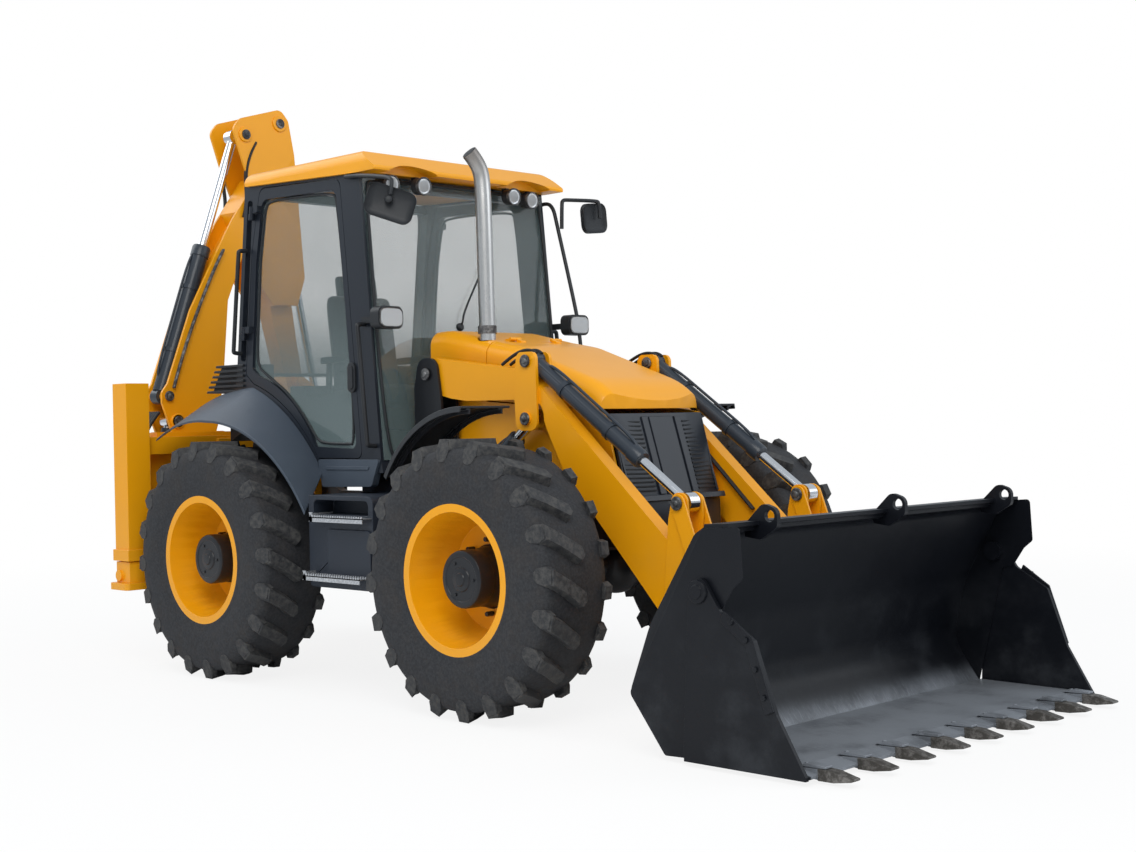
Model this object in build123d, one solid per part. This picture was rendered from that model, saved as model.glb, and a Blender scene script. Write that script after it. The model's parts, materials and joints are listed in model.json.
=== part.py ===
"""Backhoe loader with four equal wheels, a clam loading bucket and a side-shift backhoe.

Millimetres. X runs forward from the rear axle, Y to the machine's left, Z up. Heights are
those over level ground under loaded tyres; the finished pieces are then moved so that the
origin is on the ground at the centre of the machine's outline (see ORIGIN).
"""
from build123d import *
from math import atan2, cos, hypot, radians, sin, tan
import os

# ---------------------------------------------------------------- driving dimensions
WHEELBASE = 2220
TRACK = 1920
AXLE_Z = 680
TYRE_R = 695
TYRE_W = 440
RIM_FLANGE_R = 381
RIM_SEAT_R = 345
RIM_W = 410
RIM_WALL = 12
HUB_R = 125
KINGPIN_Y = TRACK / 2 - 240
BEAM_HALF = KINGPIN_Y - 140     # half the length of an axle's beam
RUN = 6             # clearance between pieces that move past each other
FIT = 0.3           # clearance of a pin in its bore, and of pieces that rest together
PIN_R = 26

ARM_Y = 475         # centre plane of each loader arm
ARM_HALF = 42
ARM_PIVOT = (1325, 1720)
TIP_BASE = (2113, 1762)      # tipping ram's base pin
LIFT_EYE = (2110, 1462)      # lift ram's rod eye
LIFT_BASE = (1330, 880)      # lift ram's base pin
LEVER_TOP = (3141, 1044)
LEVER_FOOT = (3080, 600)
BUCKET_HINGE = (3325, 330)
LINK_EYE = (3360, 450)
CLAM_PIVOT = (3815, 724)
BUCKET_HALF = 1220
TOOTH_COUNT = 9

SLEW_X = -1350
SLEW_Y = -620       # the carriage is parked at the right-hand end
BOOM_FOOT = (-440, 930)
DIPPER_PIVOT = (225, 3120)
BOOM_RAM_BASE = (-610, 1060)
BOOM_RAM_EYE = (-525, 1500)
DIPPER_RAM_BASE = (-590, 1667)
DIPPER_RAM_EYE = (30, 3463)
BUCKET_RAM_BASE = (314, 3569)
DIPPER_TIP = (520, 1480)
ROCKER_SPAN = 300            # rocker pivot to dipper tip
ROCKER_LENGTH = 290
ROCKER_REST = 135            # angle of the rocker from the dipper's line, degrees

CAB_HALF = 720
CAB_FLOOR_Z = 1240


# ---------------------------------------------------------------- helpers
def loop(points, place):
    """A face from corners (a, b) or (a, b, radius); place(a, b) puts a corner in space.

    A point (a, b, "arc") is no corner: its neighbours are joined by an arc through it.
    """
    count = len(points)
    flat = [Vector(p[0], p[1], 0) for p in points]
    spots = []
    for i, point in enumerate(points):
        here, before, after = flat[i], flat[i - 1], flat[(i + 1) % count]
        radius = point[2] if len(point) > 2 else 0
        if radius in (0, "arc"):
            spots.append((here, None, here))
            continue
        back = (before - here).normalized()
        ahead = (after - here).normalized()
        half = radians(back.get_angle(ahead)) / 2
        middle = (back + ahead).normalized()
        reach = radius / tan(half)
        spots.append((here + back * reach, here + middle * (radius / sin(half) - radius), here + ahead * reach))
    spot = lambda v: Vector(*place(v.X, v.Y))
    edges = []
    for i, (start, mid, end) in enumerate(spots):
        if "arc" in points[i][2:]:
            edges.append(ThreePointArc(spot(spots[i - 1][2]), spot(start), spot(spots[(i + 1) % count][0])))
            continue
        if mid is not None:
            edges.append(ThreePointArc(spot(start), spot(mid), spot(end)))
        following = (i + 1) % count
        if "arc" not in points[following][2:] and (spots[following][0] - end).length > 1e-6:
            edges.append(Line(spot(end), spot(spots[following][0])))
    return Face(Wire(edges))


def slab_y(points, y0, y1):
    """A plate with its outline in X and Z, from y0 to y1."""
    return Solid.extrude(loop(points, lambda a, b: (a, y0, b)), Vector(0, y1 - y0, 0))


def slab_x(points, x0, x1):
    """A plate with its outline in Y and Z, from x0 to x1."""
    return Solid.extrude(loop(points, lambda a, b: (x0, a, b)), Vector(x1 - x0, 0, 0))


def slab_z(points, z0, z1):
    """A plate with its outline in X and Y, from z0 to z1."""
    return Solid.extrude(loop(points, lambda a, b: (a, b, z0)), Vector(0, 0, z1 - z0))


def block(x0, x1, y0, y1, z0, z1):
    return Pos((x0 + x1) / 2, (y0 + y1) / 2, (z0 + z1) / 2) * Box(abs(x1 - x0), abs(y1 - y0), abs(z1 - z0))


def round_bar(start, end, radius):
    """A round bar between two points."""
    start, end = Vector(*start), Vector(*end)
    along = end - start
    return Solid.make_cylinder(radius, along.length, Plane(origin=start, z_dir=along.normalized()))


def cross_bar(spot, y0, y1, radius):
    """A round bar along Y at spot (x, z)."""
    return round_bar((spot[0], y0, spot[1]), (spot[0], y1, spot[1]), radius)


def boom_bar(spot, x0, x1, radius):
    """A round bar along X at spot (y, z)."""
    return round_bar((x0, spot[0], spot[1]), (x1, spot[0], spot[1]), radius)


def join(*shapes):
    whole = shapes[0]
    for shape in shapes[1:]:
        whole = whole + shape
    return whole


def sides(y_in, y_out, middle):
    """The two Y spans of a pair of plates either side of a middle plane."""
    return [(middle + y_in, middle + y_out), (middle - y_out, middle - y_in)]


def between(p, q, share):
    return tuple(a + (b - a) * share for a, b in zip(p, q))


def distance(p, q):
    return hypot(q[0] - p[0], q[1] - p[1])


RAM_BUTT = 12       # solid metal between a barrel's eye and its cavity


def ram(base, eye, bar, middle, barrel_r, rod_r, barrel_length, retract, eye_half, eye_r):
    """A ram's barrel and rod; bar makes round bars across its plane, middle is that plane.

    retract is how far the rod can go in from the rest pose before it reaches the cavity's end.
    """
    length = distance(base, eye)
    gland = between(base, eye, barrel_length / length)
    neck = between(base, eye, 0.6 * eye_r / length)
    stop = between(base, eye, (eye_r + RAM_BUTT) / length)
    to3 = (lambda p: (p[0], middle, p[1])) if bar is cross_bar else (lambda p: (middle, p[0], p[1]))
    barrel = round_bar(to3(neck), to3(gland), barrel_r)
    barrel = barrel + bar(base, middle - eye_half, middle + eye_half, eye_r)
    barrel = barrel - round_bar(to3(stop), to3(between(base, eye, 1.001)), rod_r + FIT)
    barrel = barrel - bar(base, middle - 2 * eye_half, middle + 2 * eye_half, PIN_R + FIT)
    inside = between(base, eye, (eye_r + RAM_BUTT + retract + RUN) / length)
    tail = between(base, eye, 1 - 0.6 * eye_r / length)
    rod = round_bar(to3(inside), to3(tail), rod_r)
    rod = rod + bar(eye, middle - eye_half, middle + eye_half, eye_r)
    rod = rod - bar(eye, middle - 2 * eye_half, middle + 2 * eye_half, PIN_R + FIT)
    return barrel, rod


# ---------------------------------------------------------------- wheels
AXLES = {"rear": 0, "front": WHEELBASE}
SIDES = {"right": -1, "left": 1}


def revolved(points, x, y, side):
    """A ring about a wheel's axis from corners (out, radius), out counted outboard."""
    face = loop(points, lambda a, b: (x, y + side * a, AXLE_Z + b))
    return Solid.revolve(face, 360, Axis((x, y, AXLE_Z), (0, 1, 0)))


LUG_COUNT = 20              # on each half of the tread
LUG_ROOT = 636              # flats of the carcass between the lugs
LUG_TIP = 100               # how far a lug's point runs ahead of its root
LUG_TOP = (TYRE_R ** 2 - LUG_TIP ** 2) ** 0.5       # flat, so that the points reach TYRE_R
TREAD_HALF = 205


def many_sided(stations, count):
    """A solid about the Y axis from flat strips, through (y, radius) stations, radius being that of the flats."""
    rings = []
    for y, radius in stations:
        corner = radius / cos(radians(180 / count))
        turns = [radians((i + 0.5) * 360 / count) for i in range(count)]
        rings.append([Vector(corner * sin(t), y, corner * cos(t)) for t in turns])
    flats = [Face(Wire.make_polygon(rings[0], close=True)), Face(Wire.make_polygon(rings[-1], close=True))]
    for near, far in zip(rings, rings[1:]):
        for i in range(count):
            j = (i + 1) % count
            flats.append(Face(Wire.make_polygon([near[i], near[j], far[j], far[i]], close=True)))
    return Solid(Shell(flats))


def tyre_blank():
    """A tyre about the Y axis at the origin: a hollow carcass, slanted lugs on both halves of its tread.

    The lugs meet in a V that points forward at the top of the wheel.
    """
    bead = RIM_W / 2 - RIM_WALL - 2
    half = TYRE_W / 2
    wall = [(bead, RIM_SEAT_R + 60), (half, 505), (half, 585), (TREAD_HALF - 15, LUG_ROOT)]
    carcass = many_sided([(-y, r) for y, r in wall] + [(y, r) for y, r in reversed(wall)], LUG_COUNT)
    hollow = many_sided([(36 - half, 500), (60 - half, 585), (half - 60, 585), (half - 36, 500)], LUG_COUNT // 2)
    opening = many_sided([(-half, RIM_SEAT_R + FIT), (half, RIM_SEAT_R + FIT)], LUG_COUNT)
    lugs = []
    for half_turn, tread in ((0.5, 1), (0, -1)):
        outline = [(-60, tread * TREAD_HALF), (22, tread * TREAD_HALF), (LUG_TIP, -tread * 8), (42, -tread * 20)]
        lug = Solid.extrude(loop(outline, lambda a, b: (a, b, 600)), Vector(0, 0, LUG_TOP - 600))
        for i in range(LUG_COUNT):
            lugs.append(Rot(0, (i + half_turn) * 360 / LUG_COUNT, 0) * lug)
    return carcass.fuse(*lugs) - hollow - opening


def rim(x, y, side):
    edge = RIM_W / 2
    disc = -60
    well = RIM_SEAT_R - RIM_WALL
    profile = [(edge, RIM_FLANGE_R), (edge - RIM_WALL, RIM_FLANGE_R), (edge - RIM_WALL, RIM_SEAT_R),
               (-edge + RIM_WALL, RIM_SEAT_R), (-edge + RIM_WALL, RIM_FLANGE_R), (-edge, RIM_FLANGE_R),
               (-edge, well), (disc - 16, well), (disc - 16, HUB_R - 20), (disc, HUB_R - 20),
               (disc, well - 60), (disc + 70, well - 25), (edge, well)]
    hub = round_bar((x, y + side * (disc - 16), AXLE_Z), (x, y + side * 150, AXLE_Z), HUB_R)
    bore = round_bar((x, y + side * (disc - 20), AXLE_Z), (x, y + side * 40, AXLE_Z), SPINDLE_R + FIT)
    return revolved(profile, x, y, side) + hub - bore


SPINDLE_R = 50
KNUCKLE_HALF = 115


def knuckle(x, y, side):
    pin = side * KINGPIN_Y
    body = Pos(x, pin, AXLE_Z) * Cylinder(88, 2 * KNUCKLE_HALF)
    carrier = round_bar((x, pin, AXLE_Z), (x, y + side * (-76 - RUN), AXLE_Z), 108)
    spindle = round_bar((x, pin, AXLE_Z), (x, y + side * 30, AXLE_Z), SPINDLE_R)
    arm_rear = slab_z([(x - 60, pin - side * 30), (x - 60, pin + side * 40), (x - 200, pin + side * 20, 15),
                       (x - 200, pin - side * 25, 15)], AXLE_Z - 60, AXLE_Z - 30)
    bore = Pos(x, pin, AXLE_Z) * Cylinder(PIN_R + FIT, 2 * KNUCKLE_HALF + 10)
    return join(body, carrier, spindle, arm_rear) - bore


def axle(x):
    beam = Pos(x, 0, AXLE_Z) * Rot(90, 0, 0) * Cylinder(80, 2 * BEAM_HALF)
    case = Pos(x, 0, AXLE_Z) * Sphere(165)
    nose = round_bar((x, 0, AXLE_Z), (x + (-NOSE_REACH if x else NOSE_REACH), 0, AXLE_Z), 90)
    whole = join(beam, case, nose)
    lug = KNUCKLE_HALF + RUN
    for side in SIDES.values():
        pin = side * KINGPIN_Y
        inner = side * (KINGPIN_Y - 88 - 75)
        whole = whole + block(x - 85, x + 85, inner, side * (KINGPIN_Y - 88 - 30), AXLE_Z - lug - 30, AXLE_Z + lug + 30)
        for low in (AXLE_Z - lug - 30, AXLE_Z + lug):
            whole = whole + block(x - 65, x + 65, inner, pin, low, low + 30)
            whole = whole + Pos(x, pin, low + 15) * Cylinder(65, 30)
        whole = whole + Pos(x, pin, AXLE_Z) * Cylinder(PIN_R, 2 * lug + 60)
    return whole


# ---------------------------------------------------------------- chassis
RAIL_Y = 350
RAIL_HALF = 30
RAIL_Z = (800, 1010)
FRAME_X = (-930, -820)       # upper and lower cross rails of the rear frame
STAB_X = (-930, -772)
STAB_Y = (1018, 1180)
STAB_Z = (636, 1735)
STAB_WALL = 14
COLLAR = 12                 # how far the band round a tube's foot stands out
TOWER_X = (1215, 1440)
TOWER_GAP = 48
TOWER_WALL = 16


def chassis():
    whole = []
    for side in SIDES.values():
        y0 = side * (RAIL_Y - RAIL_HALF)
        y1 = side * (RAIL_Y + RAIL_HALF)
        outline = [(-820, RAIL_Z[0] + 20), (-820, RAIL_Z[1] + 120), (-600, RAIL_Z[1], 60), (2520, RAIL_Z[1]),
                   (2640, RAIL_Z[1] - 60, 30), (2640, RAIL_Z[0])]
        whole.append(slab_y(outline, min(y0, y1), max(y0, y1)))
    body = join(*whole)
    for x0, x1 in ((-700, -560), (640, 760), (1180, 1300), (2480, 2640)):
        body = body + block(x0, x1, -RAIL_Y, RAIL_Y, RAIL_Z[0] + 30, RAIL_Z[1] - 40)
    for x in AXLES.values():
        body = body + block(x - 110, x + 110, -RAIL_Y, RAIL_Y, AXLE_Z + 80, RAIL_Z[0] + 60)
        body = body - Pos(x, 0, AXLE_Z) * Sphere(165 + FIT)
        body = body - Pos(x, 0, AXLE_Z) * Rot(90, 0, 0) * Cylinder(80 + FIT, 2 * BEAM_HALF)
    for middle in (ARM_Y, -ARM_Y):
        for y0, y1 in sides(TOWER_GAP, TOWER_GAP + TOWER_WALL, middle):
            outline = [(TOWER_X[0], 800), (TOWER_X[0], 1650, 60), (ARM_PIVOT[0] - 70, 1810, 70),
                       (ARM_PIVOT[0] + 75, 1810, 70), (TOWER_X[1], 1560, 80), (TOWER_X[1], 800)]
            body = body + slab_y(outline, y0, y1)
        side = 1 if middle > 0 else -1
        body = body + block(*TOWER_X, side * (RAIL_Y - RAIL_HALF), side * (ARM_Y + TOWER_GAP + TOWER_WALL), 780, 812)
        body = body + block(TOWER_X[0], TOWER_X[0] + 14, side * (ARM_Y - TOWER_GAP - TOWER_WALL),
                            side * (ARM_Y + TOWER_GAP + TOWER_WALL), 790, 1560)
        for spot in (ARM_PIVOT, LIFT_BASE):
            body = body + cross_bar(spot, middle - TOWER_GAP - TOWER_WALL - 10, middle + TOWER_GAP + TOWER_WALL + 10, PIN_R)
    return body


def rear_frame():
    """Two cross rails between the stabilizer tubes, and the plate that bolts them to the rails."""
    inner = STAB_Y[0]
    body = block(*FRAME_X, -inner, inner, 1290, 1400) + block(*FRAME_X, -inner, inner, 560, 680)
    web = slab_x([(-500, 600), (-500, 1380), (500, 1380), (500, 600)], FRAME_X[1], FRAME_X[1] + 20 - FIT)
    web = web - slab_x([(-260, 700, 60), (-260, 1270, 60), (260, 1270, 60), (260, 700, 60)], FRAME_X[0], FRAME_X[1] + 30)
    web = web - block(FRAME_X[1] - 1, FRAME_X[1] + 30, -RAIL_Y - RAIL_HALF - FIT, -RAIL_Y + RAIL_HALF + FIT, 810, 1140)
    web = web - block(FRAME_X[1] - 1, FRAME_X[1] + 30, RAIL_Y - RAIL_HALF - FIT, RAIL_Y + RAIL_HALF + FIT, 810, 1140)
    body = body + web
    for side in SIDES.values():
        y0, y1 = sorted((side * STAB_Y[0], side * STAB_Y[1]))
        tube = block(*STAB_X, y0, y1, *STAB_Z) + block(STAB_X[0] - COLLAR, STAB_X[1] + COLLAR, y0 - COLLAR, y1 + COLLAR,
                                                       STAB_Z[0], STAB_Z[0] + 70)
        cavity = block(STAB_X[0] + STAB_WALL, STAB_X[1] - STAB_WALL, y0 + STAB_WALL, y1 - STAB_WALL,
                       STAB_Z[0] - 1, STAB_Z[1] - STAB_WALL)
        body = body + tube - cavity
    return body


def stabilizer_leg(side):
    gap = STAB_WALL + RUN
    y0, y1 = sorted((side * STAB_Y[0], side * STAB_Y[1]))
    mid_x = (STAB_X[0] + STAB_X[1]) / 2
    mid_y = (y0 + y1) / 2
    leg = block(STAB_X[0] + gap, STAB_X[1] - gap, y0 + gap, y1 - gap, 500, STAB_Z[1] - STAB_WALL - 30)
    high = STAB_Z[1] - 160
    pads = block(STAB_X[0] + STAB_WALL + FIT, STAB_X[1] - STAB_WALL - FIT, y0 + STAB_WALL + FIT, y1 - STAB_WALL - FIT, high, high + 60)
    collar = block(STAB_X[0] + 3, STAB_X[1] - 3, y0 + 3, y1 - 3, 500, STAB_Z[0] - RUN)
    pad = slab_z([(STAB_X[0] - 32, y0 - 32, 30), (STAB_X[1] + 20, y0 - 32, 30), (STAB_X[1] + 20, y1 + 32, 30),
                  (STAB_X[0] - 32, y1 + 32, 30)], 458, 500)
    boss = cross_bar((mid_x - 30, 545), mid_y - side * 20, mid_y + side * 95, 34)
    return join(leg, pads, collar, pad, boss)


NOSE_REACH = 240            # an axle's input shaft, ahead of or behind the axle


def driveline():
    """Engine, gearbox and propshafts as plain blocks and bars."""
    engine = block(1330, 2330, -270, 270, 870, 1420)
    for side in SIDES.values():
        engine = engine + block(1500, 1580, *sorted((side * 260, side * (RAIL_Y - RAIL_HALF - FIT))), 900, 960)
    engine = engine - block(1999, 2441, -RAIL_Y, RAIL_Y, 700, 880)
    gearbox = block(560, 1320, -230, 230, 560, 780) + block(780, 1160, -200, 200, 560, 1060)
    front = round_bar((1320, 0, AXLE_Z), (WHEELBASE - NOSE_REACH - FIT, 0, AXLE_Z), 40)
    rear = round_bar((NOSE_REACH + FIT, 0, AXLE_Z), (560, 0, AXLE_Z), 40)
    return [engine, join(gearbox, front, rear)]


# ---------------------------------------------------------------- bonnet and front
HOOD_HALF = 382
HOOD_X = 1640
BONNET_HINGE = (1643, 1908)
HINGE_R = 10
HINGE_PIN_R = 5
BULKHEAD_X = 1180


def bonnet_hinge(spans, forward):
    """Hinge knuckles on top of the joint between cowl and bonnet, with a leg down to one of them."""
    x, z = BONNET_HINGE
    shape = None
    for y0, y1 in spans:
        leg = slab_y([(x, z + 4), (x + forward * 45, z - 6 - forward * 5), (x + forward * 45, z - 26),
                      (x + forward * 8, z - 14)], y0, y1)
        piece = cross_bar(BONNET_HINGE, y0, y1, HINGE_R) + leg
        shape = piece if shape is None else shape + piece
    return shape


HOOD_WALL = 14
HOOD_SHOULDER = 85          # radius between the bonnet's top and its sides
NOSE_CURVE = ((2492, HOOD_HALF), (2566, 0))     # the lip in plan: its ends and its middle


def hood_form(outline, wall, shoulder_from):
    """A body of the bonnet's width with rounded shoulders, all set in by wall.

    The edges whose middle is higher than shoulder_from are the rounded ones.
    """
    half = HOOD_HALF - wall
    form = slab_y(outline, -half, half)
    edges = [e for e in form.edges() if abs(abs(e.center().Y) - half) < 1 and e.center().Z > shoulder_from
             and e.bounding_box().size.X > 1]
    return form.fillet(HOOD_SHOULDER - wall, edges)


def nose_plan(wall):
    (x_end, half), (x_middle, _) = NOSE_CURVE
    return slab_z([(1000, -half), (1000, half), (x_end - wall, half), (x_middle - wall, 0, "arc"), (x_end - wall, -half)],
                  RAIL_Z[1], 2200)


def cowl():
    """Side panels and the raised rear part in front of the windscreen."""
    sill = RAIL_Z[1] + FIT
    hump = hood_form([(BULKHEAD_X, 1560), (BULKHEAD_X, 1968), (1290, 1972, 400), (HOOD_X, 1895), (HOOD_X, 1560)], 0, 1700)
    sides_ = slab_y([(BULKHEAD_X, sill), (BULKHEAD_X, 1561), (HOOD_X, 1561), (2420, 1500), (2520, 1480), (2640, sill)],
                    -HOOD_HALF, HOOD_HALF)
    room = hood_form([(BULKHEAD_X + HOOD_WALL, 1560), (BULKHEAD_X + HOOD_WALL, 1954), (1290, 1958, 400), (HOOD_X + 20, 1876),
                      (HOOD_X + 20, 1560)], HOOD_WALL, 1700)
    room_low = slab_y([(BULKHEAD_X + HOOD_WALL, 1010), (BULKHEAD_X + HOOD_WALL, 1561), (3000, 1600), (3000, 1010)],
                      -HOOD_HALF + HOOD_WALL, HOOD_HALF - HOOD_WALL)
    body = hump + sides_ - room - room_low + bonnet_hinge(((-200, -160), (160, 200)), -1)
    for y0, y1 in ((-200, -119), (119, 200)):
        body = body + cross_bar(BONNET_HINGE, y0, y1, HINGE_PIN_R)
    (x0, z0), (x1, z1) = EXHAUST_SPOTS[:2]
    return body - round_bar((x0, EXHAUST_Y, z0), (x1, EXHAUST_Y, z1), EXHAUST_R + FIT)


def bonnet():
    rear = HOOD_X + RUN
    outer = hood_form([(rear, 1400), (rear, 1894), (1830, 1861, 500), (2433, 1650, 500), (2700, 1440), (2700, 1400)], 0, 1500)
    outer = outer & nose_plan(0) & slab_y([(rear, 1568), (rear, 2100), (2700, 2100), (2700, 1500), (2420, 1506)], -400, 400)
    inner = hood_form([(rear + HOOD_WALL, 1300), (rear + HOOD_WALL, 1878), (1828, 1846, 500), (2425, 1635, 500), (2690, 1427),
                       (2690, 1300)], HOOD_WALL, 1440) & nose_plan(HOOD_WALL)
    knuckles = bonnet_hinge(((-159, -120), (120, 159)), 1)
    return outer - inner + (knuckles - cross_bar(BONNET_HINGE, -210, 210, HINGE_PIN_R + FIT))


def grille():
    """The front panel, bowed forward in plan and leaning out towards its foot."""
    half = HOOD_HALF - 20
    plans = []
    for x, z in ((2640, 800), (2640, RAIL_Z[1]), (2524, 1480)):
        back = x + FIT
        front = x + (48 if z < 900 else 46 if z < 1400 else 14)
        points = [(back, -half), (back, half), (front - 26 * (z < 1400), half), (front + 14, 0, "arc"), (front - 26 * (z < 1400), -half)]
        plans.append(loop(points, lambda a, b: (a, b, z)).outer_wire())
    return Solid.make_loft(plans[:2], ruled=True) + Solid.make_loft(plans[1:], ruled=True)


EXHAUST_SPOTS = ((1560, 1780), (1512, 2760), (1466, 2925))      # foot, bend and top of the stack
EXHAUST_Y = -300
EXHAUST_R = 45


def exhaust():
    foot, bend, top = [(x, EXHAUST_Y, z) for x, z in EXHAUST_SPOTS]
    return round_bar(foot, bend, EXHAUST_R) + round_bar(bend, top, EXHAUST_R)


# ---------------------------------------------------------------- cab
PILLAR = 58
SIDE_OUT = CAB_HALF
SIDE_IN = CAB_HALF - PILLAR
DOOR_EDGE = [(965, 1262, 40), (810, 2850, 60), (35, 2880, 60), (-60, 2500), (-146, 1770, 30), (-70, 1712),
             (275, 1545, "arc"), (560, 1262)]


DOOR_HINGES = ((-18, 2736), (-128, 2017))     # the two hinges of a door, on its rear edge
DOOR_HINGE_Y = CAB_HALF + 28
PANE_HALF = CAB_HALF - 20        # outer face of a door's glass, and half a windscreen


def grown(points, reach):
    """The same outline pushed out by reach from its middle."""
    cx = sum(p[0] for p in points) / len(points)
    cz = sum(p[1] for p in points) / len(points)
    out = []
    for p in points:
        far = hypot(p[0] - cx, p[1] - cz)
        out.append((p[0] + (p[0] - cx) * reach / far, p[1] + (p[1] - cz) * reach / far, *p[2:]))
    return out


def cab_frame():
    side_outline = [(1150, 1180), (1135, 1240), (985, 2860), (-120, 2905), (-250, 1750), (-330, 1500), (-330, 1180)]
    door_hole = grown(DOOR_EDGE, 6)
    rear_hole = [(-42, 2820, 20), (-93, 2820, 20), (-205, 1850, 20), (-150, 1850, 20)]
    body = None
    for side in SIDES.values():
        y0, y1 = sorted((side * SIDE_IN, side * SIDE_OUT))
        wall = slab_y(side_outline, y0, y1)
        for hole in (door_hole, rear_hole):
            wall = wall - slab_y(hole, y0 - 1, y1 + 1)
        body = wall if body is None else body + wall
    body = body + block(-330, 1140, -SIDE_IN, SIDE_IN, 1180, CAB_FLOOR_Z)
    body = body + block(-330, -280, -SIDE_IN, SIDE_IN, 1180, 1500)
    body = body + slab_y([(965, 2790), (976, 2856), (915, 2858), (900, 2793)], -SIDE_IN, SIDE_IN)
    body = body + slab_y([(-108, 2840), (-112, 2898), (-50, 2896), (-45, 2840)], -SIDE_IN, SIDE_IN)
    body = body + slab_y([(1100, 1180), (1100, 1640), (1140, 1640), (1150, 1180)], -380, 380)
    for x in (-220, 700, 1010):
        for y in (-RAIL_Y, RAIL_Y):
            body = body + block(x - 35, x + 35, y - 25, y + 25, RAIL_Z[1] + FIT, 1190)
    arch = 760
    for side in SIDES.values():
        body = body - round_bar((0, side * 520, AXLE_Z), (0, side * 900, AXLE_Z), arch)
    for side in SIDES.values():
        y0, y1 = sorted((side * 505, side * SIDE_OUT))
        ring = round_bar((0, y0, AXLE_Z), (0, y1, AXLE_Z), arch + 20) - round_bar((0, y0 - 1, AXLE_Z), (0, y1 + 1, AXLE_Z), arch)
        body = body + (ring & block(-330, 620, y0, y1, 1180, 1500))
        wall = slab_y([(-330, 1180), (-330, 1445), (600, 1445), (600, 1180)], *sorted((side * 505, side * 519)))
        body = body + (wall & round_bar((0, y0, AXLE_Z), (0, y1, AXLE_Z), arch + 20))
        body = body + door_hinges(side, False)
    return body


ROOF_HALF = CAB_HALF + 23


def roof():
    """A shallow shell of even form: its side view cut by its front view, arched over the front lamps."""
    side_view = [(-95, 2925, 20), (-70, 3020, 60), (300, 3040, 400), (1000, 2985, 60), (1155, 2880, 20), (1150, 2861),
                 (985, 2860 + FIT), (-90, 2904 + FIT)]
    front_view = [(-ROOF_HALF, 2800), (-ROOF_HALF, 2975, 70), (-480, 3022, 300), (480, 3022, 300), (ROOF_HALF, 2975, 70),
                  (ROOF_HALF, 2800)]
    form = slab_y(side_view, -ROOF_HALF, ROOF_HALF) & slab_x(front_view, -200, 1200)
    for side in SIDES.values():
        middle = side * 454
        form = form - slab_x([(middle - 175, 2800), (middle - 175, 2866), (middle, 2908, "arc"), (middle + 175, 2866),
                              (middle + 175, 2800)], 1050, 1200)
    return form


def cab_glass():
    """Windscreen, rear window and the two rear quarter windows, each lying on the frame."""
    lean = 0.31         # level distance that keeps FIT off a leaning face
    front = slab_y([(1134.1 + lean, 1250), (985.9 + lean, 2850), (992 + lean, 2850), (1140.2 + lean, 1250)], -PANE_HALF, PANE_HALF)
    front = front - block(1100, 1180, -HOOD_HALF - 8, HOOD_HALF + 8, 1200, 1975)
    back = slab_y([(-255 - lean, 1760), (-126.5 - lean, 2900), (-120.5 - lean, 2900), (-249 - lean, 1760)], -PANE_HALF, PANE_HALF)
    pieces = [front, back]
    pane = [(-30, 2837), (-100, 2837), (-215, 1840), (-145, 1840)]
    for side in SIDES.values():
        pieces.append(slab_y(pane, *sorted((side * (SIDE_IN - FIT), side * (SIDE_IN - FIT - 6)))))
    return pieces


def door_hinges(side, upper):
    """Knuckles on the hinge line: the lower ones are the cab's, with the pins; the upper ones the door's."""
    (x1, z1), (x0, z0) = DOOR_HINGES
    length = hypot(x1 - x0, z1 - z0)
    ex, ez = (x1 - x0) / length, (z1 - z0) / length
    shape = None
    for x, z in DOOR_HINGES:
        point = lambda along: (x + ex * along, side * DOOR_HINGE_Y, z + ez * along)
        low, high = (1, 40) if upper else (-40, -1)

        def leaf(x_near, x_far, y_near):
            corners = [(x + x_near + ex * low, z + ez * low), (x + x_near + ex * high, z + ez * high),
                       (x + x_far + ex * high, z + ez * high), (x + x_far + ex * low, z + ez * low)]
            return slab_y(corners, *sorted((side * y_near, side * (DOOR_HINGE_Y + 4))))

        flap = leaf(0, 60, CAB_HALF + 5) + leaf(24, 60, CAB_HALF - 4) if upper else leaf(0, -24, CAB_HALF - 4)
        piece = round_bar(point(low), point(high), 14) + flap
        if upper:
            piece = piece - round_bar(point(-5), point(50), 7 + FIT)
        else:
            piece = piece + round_bar(point(-40), point(36), 7)
        shape = piece if shape is None else shape + piece
    return shape


def door(side):
    y0, y1 = sorted((side * (SIDE_IN + 14), side * SIDE_OUT))
    frame = slab_y(DOOR_EDGE, y0, y1)
    window = grown(DOOR_EDGE, -70)
    return frame - slab_y(window, y0 - 1, y1 + 1) + door_hinges(side, True)


def door_glass(side):
    return slab_y(grown(DOOR_EDGE, -70 - FIT), *sorted((side * (PANE_HALF - 6), side * PANE_HALF)))


def interior():
    """Console, steering column and wheel, side consoles."""
    dash = slab_y([(880, CAB_FLOOR_Z + FIT), (960, 1560, 40), (1040, 1600, 30), (1085, 1560), (1085, CAB_FLOOR_Z + FIT)], -230, 230)
    column = round_bar((1010, 0, 1490), (792, 0, 1776), 28)
    wheel = Pos(795, 0, 1772) * Rot(0, -21, 0) * Torus(185, 14)
    spokes = Pos(795, 0, 1772) * Rot(0, -21, 0) * Box(22, 370, 10)
    console = block(-60, 520, -440, -300, CAB_FLOOR_Z + FIT, 1640)
    rear = block(-240, -80, -330, 330, CAB_FLOOR_Z + FIT, 1700)
    return [join(dash, column, wheel, spokes), join(console, rear)]


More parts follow.
